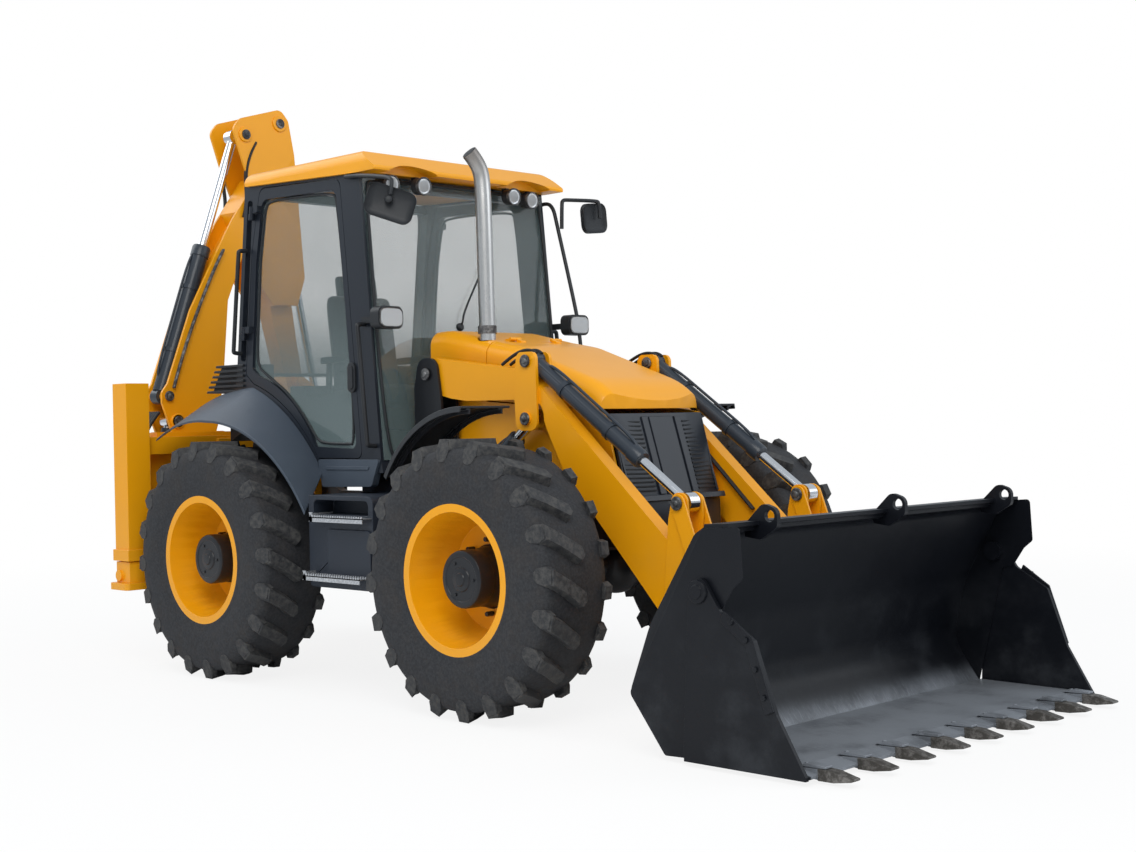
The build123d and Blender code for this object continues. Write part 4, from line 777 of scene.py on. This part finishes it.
def closed(points, near):
    """A loop with points close to each corner, so that a smooth line keeps the corners."""
    route = []
    for before, here, after in zip(points[-1:] + points[:-1], points, points[1:] + points[:1]):
        for other in (before, after):
            share = min(near / math.dist(here, other), 0.45)
            route.append(tuple(a + (b - a) * share for a, b in zip(here, other)))
    return route + route[:1]


for side, s in SIDES:
    seal = [(x, s * DOOR_SEAL_Y, z) for x, z in closed(DOOR_PANE, 45)]
    pipes("door_seal_" + side, [seal], 8, plastic, "door_" + side)
    bm = bmesh.new()
    for half, height, low, high in ((34, 84, 716, 734), (20, 66, 732, 741)):
        plate(bm, rectangle(LATCH_X, LATCH_Z, half, height), s * low, s * high, half * 0.92, 6)
    piece("door_handle_" + side, bm, plastic, 3, "door_" + side)
rails = [[(x, s * y, z) for x, y, z in rail] for side, s in SIDES for rail in GRAB_RAILS]
pipes("grab_rails", rails, 13, plastic)
pipes("windscreen_seal", [closed(WINDSCREEN, 50)], 9, plastic)
pipes("rear_window_seal", [closed(REAR_WINDOW, 50)], 9, plastic)
pipes("wiper", [WIPER_ARM], 6, plastic)
pipes("wiper_blade", [[(1086, 150, 2120), (1060, 160, 2400), (1036, 170, 2660)]], 7, rubber)
bm = bmesh.new()
turned(bm, [(-10, 0), (-10, 24), (8, 24), (16, 16), (16, 0)], (1074, -60, 2010), (1, 0, 0.1), 20)
piece("wiper_boss", bm, plastic, 2)
print("cab fittings made")

# %% [markdown]
# The mirrors stand on bent tubes: the right one on a short bracket, the left one on a long tube
# that runs from the roof's corner down past the headlamp.

# %% Mirrors
MIRRORS = (((1395, -832, 2634), (268, 178), -42, -19), ((1190, 975, 2712), (226, 186), 4, 6))
RIGHT_TUBE = [(860, -735, 2850), (1000, -742, 2842), (1200, -785, 2812), (1425, -832, 2770),
              (1404, -846, 2652)]
LEFT_TUBES = ([(960, 738, 2800), (1010, 748, 2812), (1050, 758, 2770), (1070, 758, 2700),
               (1240, 750, 2113), (1262, 748, 1990), (1280, 745, 1860)],
              [(1113, 765, 2640), (1112, 770, 2790), (1100, 790, 2822), (1125, 830, 2822),
               (1195, 985, 2822), (1215, 1005, 2812), (1212, 1005, 2712)])
CLAMP = [(0, 0), (0, 24), (22, 20), (26, 12), (26, 0)]


def mirror_head(shells, glass, centre, size, yaw, tilt):
    """A rounded housing with a domed back and a sunken glass, turned and then tilted."""
    x, y, z = centre
    for bm, margin, near, far in ((shells, 0, -16, 16), (glass, 16, -22, -15)):
        outline = rectangle(y, z, size[0] / 2 - margin, size[1] / 2 - margin)[::-1]
        verts = plate(bm, outline, x + near, x + far, min(size) * 0.28, 6, "yz")
        if bm is shells:
            back = faces_at(verts, 0, at(x + far, 0, 0))
            for thickness, depth in ((12, 14), (26, 8)):
                verts += stepped(bm, back, thickness, depth)
        bmesh.ops.rotate(bm, cent=at(*centre), matrix=turn(yaw, "Z") @ turn(tilt, "X"), verts=verts)


shells, glass = bmesh.new(), bmesh.new()
for centre, size, yaw, tilt in MIRRORS:
    mirror_head(shells, glass, centre, size, yaw, tilt)
turned(shells, CLAMP, (1402, -848, 2652), (0.74, -0.67, 0.1), 20)
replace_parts(piece("mirror_housings", shells, plastic, 4, angle=40, segments=3), "mirrors")
piece("mirror_glass", glass, silver, 1)
pipes("mirror_tubes", [closed(RIGHT_TUBE, 30)[1:-2], *LEFT_TUBES], 12, plastic)
print("mirrors made")

# %% [markdown]
# ## The driver's seat
# The seat shows through the glass, so it gets real cushions: boxes with rounded corners whose
# faces are crowned by a subdivision surface, with two sewn channels pressed into each.

# %% Cushions
def cushion(name, centre, size, lean, channels):
    """A padded block: size is along, across and thick, and it leans back by lean degrees."""
    bm = bmesh.new()
    bmesh.ops.create_cube(bm, size=1)
    bmesh.ops.subdivide_edges(bm, edges=bm.edges, cuts=8, use_grid_fill=True)
    for vert in bm.verts:
        x, y, z = vert.co * 2
        crown = (1 - x * x) * (1 - y * y)
        squeeze = 1 - 0.1 * (x ** 4 + y ** 4)
        groove = sum(math.exp(-((y - c) / 0.07) ** 2) for c in channels) * 0.16 * (1 - x ** 6)
        lift = (0.3 * crown + 0.72 - groove * (1 if z > 0 else 0)) * squeeze
        vert.co = Vector((x * (0.5 - 0.04 * z * z), y * (0.5 - 0.03 * z * z), z * 0.5 * lift))
    bmesh.ops.scale(bm, vec=Vector(size) / 1000, verts=bm.verts)
    bmesh.ops.rotate(bm, cent=(0, 0, 0), matrix=turn(-lean, "Y"), verts=bm.verts)
    bmesh.ops.translate(bm, vec=at(*centre), verts=bm.verts)
    pad = piece(name, bm, cloth, 0, angle=60)
    soft = pad.modifiers.new("soft form", "SUBSURF")
    soft.levels = soft.render_levels = 1
    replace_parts(pad, "seat")


SEAMS = (-0.45, 0.45)          # as shares of half the width
cushion("seat_base_pad", (315, 0, 1625), (500, 490, 150), 0, SEAMS)
cushion("seat_back_pad", (85, 0, 1960), (600, 470, 150), 98, SEAMS)
cushion("head_pad", (30, 0, 2300), (170, 300, 90), 98, ())
print("cushions made")

# %% [markdown]
# Under the cushions are a moulded base, a back shell and two armrests on short posts. Levers
# with round knobs stand on the consoles.

# %% Seat frame and levers
bm = bmesh.new()
plate(bm, [(130, 1245), (130, 1400), (180, 1540), (470, 1540), (510, 1400), (510, 1245)], -190, 190)
plate(bm, [(10, 1640), (-14, 2190), (10, 2200), (40, 1650)], -180, 180)
for s in (-1, 1):
    plate(bm, [(60, 1830), (60, 1870), (360, 1880), (380, 1860), (360, 1840)], s * 262, s * 318)
    plate(bm, [(40, 1600), (60, 1850), (100, 1850), (90, 1600)], s * 250, s * 272)
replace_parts(piece("seat_frame", bm, plastic, 6, segments=3), "seat")

LEVERS = ((430, -370, 1800), (360, -370, 1790), (500, -330, 1780), (900, -120, 1740),
          (900, 120, 1740))
KNOB = [(-22, 0), (-20, 12), (-8, 21), (8, 23), (20, 15), (24, 0)]
stalks, knobs = [], bmesh.new()
for x, y, top in LEVERS:
    stalks.append([(x, y, top - 170), (x + 4, y, top - 90), (x - 12, y, top)])
    turned(knobs, KNOB, (x - 12, y, top), (0, 0, 1), 16)
pipes("lever_stalks", stalks, 6, pin_steel)
piece("lever_knobs", knobs, plastic, 0, angle=50)
print("levers:", len(LEVERS))

# %% [markdown]
# ## Exhaust
# The stainless stack bends outwards at its end, darkened by smoke, and a band clamp holds it
# where it leaves the bonnet. It is one smooth round line, and a dark disc in its mouth is
# painted shade that stands for the open pipe's dark inside.

# %% Exhaust
STACK = [(1570, -300, 1900), (1566, -300, 2000), (1558, -300, 2640), (1552, -300, 2750),
         (1548, -304, 2830), (1540, -335, 2895), (1531, -376, 2940)]
STACK_R = 45
BAND = [(-22, STACK_R), (-22, 52), (22, 52), (22, STACK_R), (-22, STACK_R)]

stack = pipes("exhaust_stack_bent", [STACK], STACK_R, stainless)
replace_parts(stack, "exhaust_stack")
bm = bmesh.new()
turned(bm, BAND, (1567, -300, 1960), (-0.02, 0, 1), 32)
piece("exhaust_bands", bm, pin_steel, 1)
# a dark disc over the stack's capped end: painted shade for the open pipe's inside
bm = bmesh.new()
mouth_axis = Vector(STACK[-1]) - Vector(STACK[-2])
turned(bm, [(-1, 0), (-1, 38), (0, 41), (2, 41), (2, 0)], STACK[-1], mouth_axis, 32)
piece("exhaust_mouth_painted_shade", bm, rubber, 0)
print("exhaust made")

# %% [markdown]
# ## Loading bucket
# Nine bare steel teeth stand on the cutting edge, each in a bolted adaptor, and the clam's side
# edges carry bolted cutters. A boss marks its pivot, and a long strip stiffens the upper edge.

# %% Teeth, cutters and bosses
BUCKET_HALF, TOOTH_COUNT = 1220, 9
TOOTH_ENDS = BUCKET_HALF - 113
TOOTH_PITCH = 2 * TOOTH_ENDS / (TOOTH_COUNT - 1)
TOOTH = [(4345, 46), (4420, 42), (4508, 21), (4508, 12), (4420, -2), (4345, -3)]
ADAPTOR = [(4240, 44), (4290, 60), (4380, 56), (4380, 46)]
CUTTER = [(3960, 655), (4104, 556), (4204, 268), (4164, 250), (4070, 520), (3940, 610)]
CUTTER_BOLTS = ((4000, 612), (4075, 545), (4120, 430), (4160, 320))
CLAM_BOSS = [(0, 0), (0, 52), (10, 48), (10, 30), (16, 28), (16, 0)]

teeth, holders, rear = bmesh.new(), bmesh.new(), bmesh.new()
for i in range(TOOTH_COUNT):
    y = i * TOOTH_PITCH - TOOTH_ENDS
    plate(teeth, TOOTH, y - 32, y + 32)
    plate(holders, ADAPTOR, y - 24, y + 24)
    bolt(holders, 11, 0, 8, (4275, y, 52), (-0.2, 0, 1))
for s in (-1, 1):
    plate(holders, CUTTER, s * BUCKET_HALF, s * (BUCKET_HALF + 12))
    for x, z in CUTTER_BOLTS:
        bolt(holders, 13, 0, 9, (x, s * (BUCKET_HALF + 12), z), (0, s, 0))
    turned(rear, CLAM_BOSS, (3815, s * BUCKET_HALF, 724), (0, s, 0), 28)
plate(rear, [(3826, 968), (3832, 1004), (3958, 1010), (3958, 992)], -1190, 1190)
piece("bucket_teeth", teeth, tooth_steel, 4, "clam")
piece("bucket_adaptors", holders, bucket, 2, "clam")
piece("bucket_stiffeners", rear, bucket, 2, "loader_bucket")
print("teeth:", TOOTH_COUNT)

# %% [markdown]
# ## Hydraulics
# A ram's barrel ends in a gland where the rod comes out, and two clamps hold a steel pipe along
# it. All of it is placed by its share of the way from one end of the ram to the other.

# %% Glands, clamps and pipes of the rams
LOADER_RAMS = (          # name, ends, barrel's length and radius, side of the pipe, band height
    ("tip_ram", (TIP_FOOT, TIP_EYE), 900, 42, (0.573, 0, 0.82), 6),
    ("lift_ram", (LIFT_FOOT, LIFT_EYE), 800, 46, (-0.598, 0, 0.8), 1.2))


def ram_dress(name, body, start, end, length, radius, aside, stand):
    """Dresses a barrel: aside is where its pipe lies, stand the height of its bands."""
    way = Vector(end) - Vector(start)
    barrel = length / way.length

    def along(share, off=0):
        return Vector(start) + way * (share * barrel) + Vector(aside) * off

    bm = bmesh.new()
    outer, inner = radius + stand, radius - 16
    turned(bm, [(-70, radius + 0.5), (-70, outer), (-8, outer), (4, radius + 1), (4, inner),
                (-70, inner)], along(1), way)
    clamp = [(-14, radius - 2), (-14, outer), (14, outer), (14, radius - 2)]
    for share in (0.3, 0.72):
        turned(bm, clamp, along(share), way)
    piece(name + "_bands", bm, ram_paint, 1, body)
    route = [along(share, radius + off) for share, off in
             ((0.12, -4), (0.14, 16), (0.5, 16), (0.9, 16), (0.94, -4))]
    pipes(name + "_pipe", [route], 8, ram_paint, body)


for side, s in SIDES:
    for name, ends, *barrel in LOADER_RAMS:
        foot, eye = ((x, s * ARM_Y, z) for x, z in ends)
        ram_dress(name + "_" + side, name + "_barrels", foot, eye, *barrel)
ram_dress("dipper_ram", "dipper_ram_barrel", (SLEW_X, *DIPPER_FOOT), (SLEW_X, *DIPPER_EYE),
          1075, 56, (0, -0.945, 0.326), 6)
ram_dress("dig_ram", "dig_ram_barrel", (SLEW_X, *DIG_FOOT), (SLEW_X, *DIG_EYE),
          1120, 48, (0, 0.98, 0.16), 6)
print("rams dressed")

# %% [markdown]
# Hoses loop slackly where a joint moves, and steel pipes follow a plate closely. A pair or a
# bundle repeats one route with a small shift.

# %% Hoses
for side, s in SIDES:
    arm, tip = [], []
    for i in (0, 1):
        y = s * (ARM_Y - 56 - 12 * i)
        arm.append([(1330, y, 1760), (1500, y, 1740 - 14 * i), (1980, y, 1680 - 14 * i),
                    (2180, y, 1590), (2500, y, 1290), (2840, y, 960)])
    for w in (-s, s):
        y = s * ARM_Y
        tip.append([(2150, y + 20 * w, 1800), (2080, y + 26 * w, 1850), (1990, y + 34 * w, 1800),
                    (1900, y + 30 * w, 1752)])
    pipes("arm_hoses_" + side, arm, 8, rubber, "loader_arms")
    pipes("tip_hoses_" + side, tip, 9, rubber, "loader_arms", 4)

slew, boom, elbow = [], [], []
for dx in range(-66, 67, 33):
    slew.append([(SLEW_X + dx * share, y, z) for share, y, z in
                 ((0.8, -640, 1010), (1, -760, 1120), (1, -800, 1300), (0.9, -720, 1470),
                  (0.8, -628, 1560))])
for side, out in ((1, 0), (-1, 0), (1, 1), (-1, 1)):
    x = SLEW_X + side * (122 + 12 * out)
    boom.append([(x, -560, 1720), (x, -430, 2150), (x, -210, 2570), (x, -150, 2664)])
    dx = side * (120 + 14 * out)
    elbow.append([(SLEW_X + dx * share, y, z) for share, y, z in
                  ((1, 20, 2900), (1, 60, 3010), (1.12, 10, 3180), (1.15, 60, 3330),
                   (1.1, 120, 3420))])
pipes("slew_hoses", slew, 11, rubber, "kingpost", 4)
pipes("boom_pipes", boom, 8, pin_steel, "boom", 4)
pipes("elbow_hoses", elbow, 9, rubber, "boom", 4)
print("hoses laid")

# %% [markdown]
# ## Steps
# The step treads are folded galvanised channels, with rows of upright teeth that give grip to
# a boot. Every tread is a handful of plates.

# %% Step treads
TREADS = ((930, 1392, 905, 1066, 950), (890, 1385, 990, 1086, 630))     # x, x, y, y, top
TOOTH_STEP, WALL = 20, 5

bm = bmesh.new()
for s in (-1, 1):
    for x0, x1, y0, y1, z in TREADS:
        low, high = sorted((s * y0, s * y1))
        lips = (span(x0, z - 26, x1, z + 1), low), (span(x0, z - 26, x1, z + 1), high - WALL)
        for outline, y in (*lips, (span(x0 - 4, z - 26, x0 + 26, z + 26), low)):
            plate(bm, outline, y, y + WALL)
        plate(bm, span(x0, z - 5, x1, z + 1), low, high)
        plate(bm, span(x0 - 4, z - 20, x0 + 1, z + 20), low, high)
        count = int((x1 - x0) / TOOTH_STEP)
        for i in range(count):
            x = x0 + (x1 - x0) * (i + 0.5) / count
            for y in (low, high - WALL, (low + high) / 2):
                plate(bm, [(x - 8, z), (x - 3, z + 12), (x + 3, z + 12), (x + 8, z)], y, y + WALL)
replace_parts(piece("step_treads", bm, zinc, 0), "steps")
print("treads made:", 2 * len(TREADS))

# %% [markdown]
# ## Front fenders
# A front fender is a thin arc over the tyre with a lip along its outer edge. Its section is
# spun by sixty degrees, and two angle irons of the same arc carry it from below.

# %% Front fenders
GUARD_X, GUARD_Z, GUARD_R = 2200, 828, 702      # the middle of the arc, and its radius
GUARD_START, GUARD_SPAN = 30, 60
BRACKET = [(1380, 1120), (1380, 1200), (1440, 1200), (1600, 1166), (1600, 1130)]


def guard_arc(bm, section, s):
    """Sweeps a closed section of (depth under the arc, y) stations along a fender's arc."""
    start = math.radians(GUARD_START)
    ring = []
    for depth, y in section:
        x = GUARD_X - (GUARD_R - depth) * math.cos(start)
        z = GUARD_Z + (GUARD_R - depth) * math.sin(start)
        ring.append(bm.verts.new(at(x, s * y, z)))
    edges = [bm.edges.new(pair) for pair in zip(ring, ring[1:] + ring[:1])]
    bmesh.ops.spin(bm, geom=ring + edges, cent=at(GUARD_X, 0, GUARD_Z), axis=(0, 1, 0),
                   angle=math.radians(GUARD_SPAN), steps=18)
    bmesh.ops.holes_fill(bm, edges=[edge for edge in bm.edges if edge.is_boundary], sides=0)


shells, struts = bmesh.new(), bmesh.new()
for side, s in SIDES:
    guard_arc(shells, [(0, 740), (0, 1078), (30, 1084), (32, 1078), (12, 1070), (12, 740)], s)
    for y in (790, 1010):
        guard_arc(struts, [(13, y), (13, y + 30), (20, y + 30), (20, y + 12), (40, y + 12),
                           (40, y)], s)
    plate(struts, BRACKET, s * 560, s * 752)
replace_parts(piece("front_fender_shells", shells, plastic, 3), "fenders")
piece("fender_struts", struts, black, 1.5)
print("front fenders made")

# %% [markdown]
# ## Panels
# Under each door is a moulded skirt with a ridge, and behind the steps are a tank and the step
# box's cover. Slats cover the air intake at each rear corner of the cab, and flat ribs stiffen
# the stabilizers' feet.

# %% Skirts, covers, slats and ribs
SLAT_FOOT, SLAT_PITCH, SLAT_COUNT = 1664, 31, 6

skirts, covers, slats = bmesh.new(), bmesh.new(), bmesh.new()
for side, s in SIDES:
    plate(skirts, [(575, 1254), (1130, 1254), (1064, 1102), (612, 1096)], s * 690, s * 736, 18)
    plate(skirts, [(650, 1216), (1050, 1216), (1040, 1196), (660, 1196)], s * 730, s * 742, 6)
    plate(covers, [(730, 1050), (730, 1178), (1100, 1178), (1060, 1050)], s * 400, s * 540)
    plate(covers, span(1010, 572, 1388, 884), s * 998, s * 1010, 28)
    plate(slats, [(-170, 1650), (-170, 1836), (-430, 1836), (-545, 1665)], s * 500, s * 704, 12)
    for i in range(SLAT_COUNT):
        z, rear = SLAT_FOOT + SLAT_PITCH * i, -566 + 0.68 * SLAT_PITCH * i
        plate(slats, [(rear, z), (-165, z), (-165, z + 15), (rear + 8, z + 15)], s * 640, s * 734)
piece("door_skirts", skirts, grey_plastic, 4, segments=3)
piece("step_box_covers", covers, box_plastic, 4)
piece("intake_louvres", slats, plastic, 3)
for side, s in SIDES:
    bm = bmesh.new()
    for x in (-905, -797):
        plate(bm, [(s * 1030, 500), (s * 1052, 560), (s * 1146, 560), (s * 1168, 500)],
              x - 6, x + 6, plane="yz")
    piece("foot_ribs_" + side, bm, yellow, 2, "stabilizer_leg_" + side)
print("panels made")

# %% [markdown]
# ## Digging arm
# Where a pin goes through a plate of the boom or the dipper, a low welded ring with a chamfer
# makes the plate thicker.

# %% Bosses
BOSSES = (          # body, out of the arm's plane, ring's width and height, then y, z and radius
    ("boom", 110, 30, 8, ((*BOOM_FOOT, 62), (*ELBOW, 70), (*BOOM_RAM_EYE, 52))),
    ("dipper", 150, 26, 7, ((*ELBOW, 62), (*DIG_FOOT, 56), (*DIPPER_EYE, 52))))

for body, reach, width, height, rings in BOSSES:
    bm = bmesh.new()
    for y, z, radius in rings:
        profile = [(-2, radius - width), (-2, radius), (height, radius),
                   (height + 4, radius - 4), (height + 4, radius - width)]
        for way in (-1, 1):
            turned(bm, profile, (SLEW_X + way * reach, y, z), (way, 0, 0))
    piece(body + "_bosses", bm, yellow, 1, body)
print("bosses made")

# %% [markdown]
# ## The studio
# A pale floor keeps the machine's shadow. To the camera it also glows, more so far away, so
# that it fades into the white sky.

# %% Floor
scene.view_settings.view_transform = "Standard"


bm = bmesh.new()
bmesh.ops.create_grid(bm, x_segments=1, y_segments=1, size=60)
mesh = bpy.data.meshes.new("floor")
bm.to_mesh(mesh)
bm.free()
pale = Finish("floor_white", (0.86, 0.86, 0.86), 0.9)
x, y, z = pale.axes()
glow_share = ((x * x + y * y) ** 0.5).between(3.5, 11) * 0.14 + 0.86
nodes, links = pale.tree.nodes, pale.tree.links
path, glow, blend = (nodes.new("ShaderNode" + kind)
                     for kind in ("LightPath", "Emission", "MixShader"))
pale.give(blend.inputs[0], Field(pale, path.outputs["Is Camera Ray"]) * glow_share)
links.new(pale.surface.outputs[0], blend.inputs[1])
links.new(glow.outputs[0], blend.inputs[2])
links.new(blend.outputs[0], nodes["Material Output"].inputs["Surface"])
mesh.materials.append(pale.material)
linked("floor", mesh)
print("floor laid")

# %% [markdown]
# The sky is white where the camera sees it and a dimmer blue where it lights the machine. Three
# large soft lamps give the shading: a warm key from the front right, and two cooler ones.

# %% Sky and lamps
SKY, WHITE = ((0.86, 0.93, 1.0, 1), 0.62), ((1, 1, 1, 1), 1.0)      # colour, strength
LAMPS = (                # name, place in metres, size, power, colour
    ("key", (6, -7, 9), 7, 700, (1, 0.98, 0.95)),
    ("fill", (8, 6, 7), 8, 260, (0.92, 0.96, 1)),
    ("back", (-8, -3, 8), 7, 300, (0.95, 0.98, 1)))

world = bpy.data.worlds.new("sky")
scene.world = world
world.use_nodes = True
nodes, links = world.node_tree.nodes, world.node_tree.links
blend, path, white = (nodes.new("ShaderNode" + kind)
                      for kind in ("MixShader", "LightPath", "Background"))
for i, (ground, values) in enumerate(((nodes["Background"], SKY), (white, WHITE))):
    ground.inputs["Color"].default_value, ground.inputs["Strength"].default_value = values
    links.new(ground.outputs[0], blend.inputs[i + 1])
links.new(path.outputs["Is Camera Ray"], blend.inputs[0])
links.new(blend.outputs[0], nodes["World Output"].inputs["Surface"])
for name, place, size, power, color in LAMPS:
    data = bpy.data.lights.new(name, "AREA")
    data.size, data.energy, data.color = size, power, color
    lamp = linked(name, data)
    lamp.location = place
    aim = Vector((0, 0, 1)) - Vector(place)
    lamp.rotation_euler = aim.to_track_quat("-Z", "Y").to_euler()
print("lamps:", len(LAMPS))
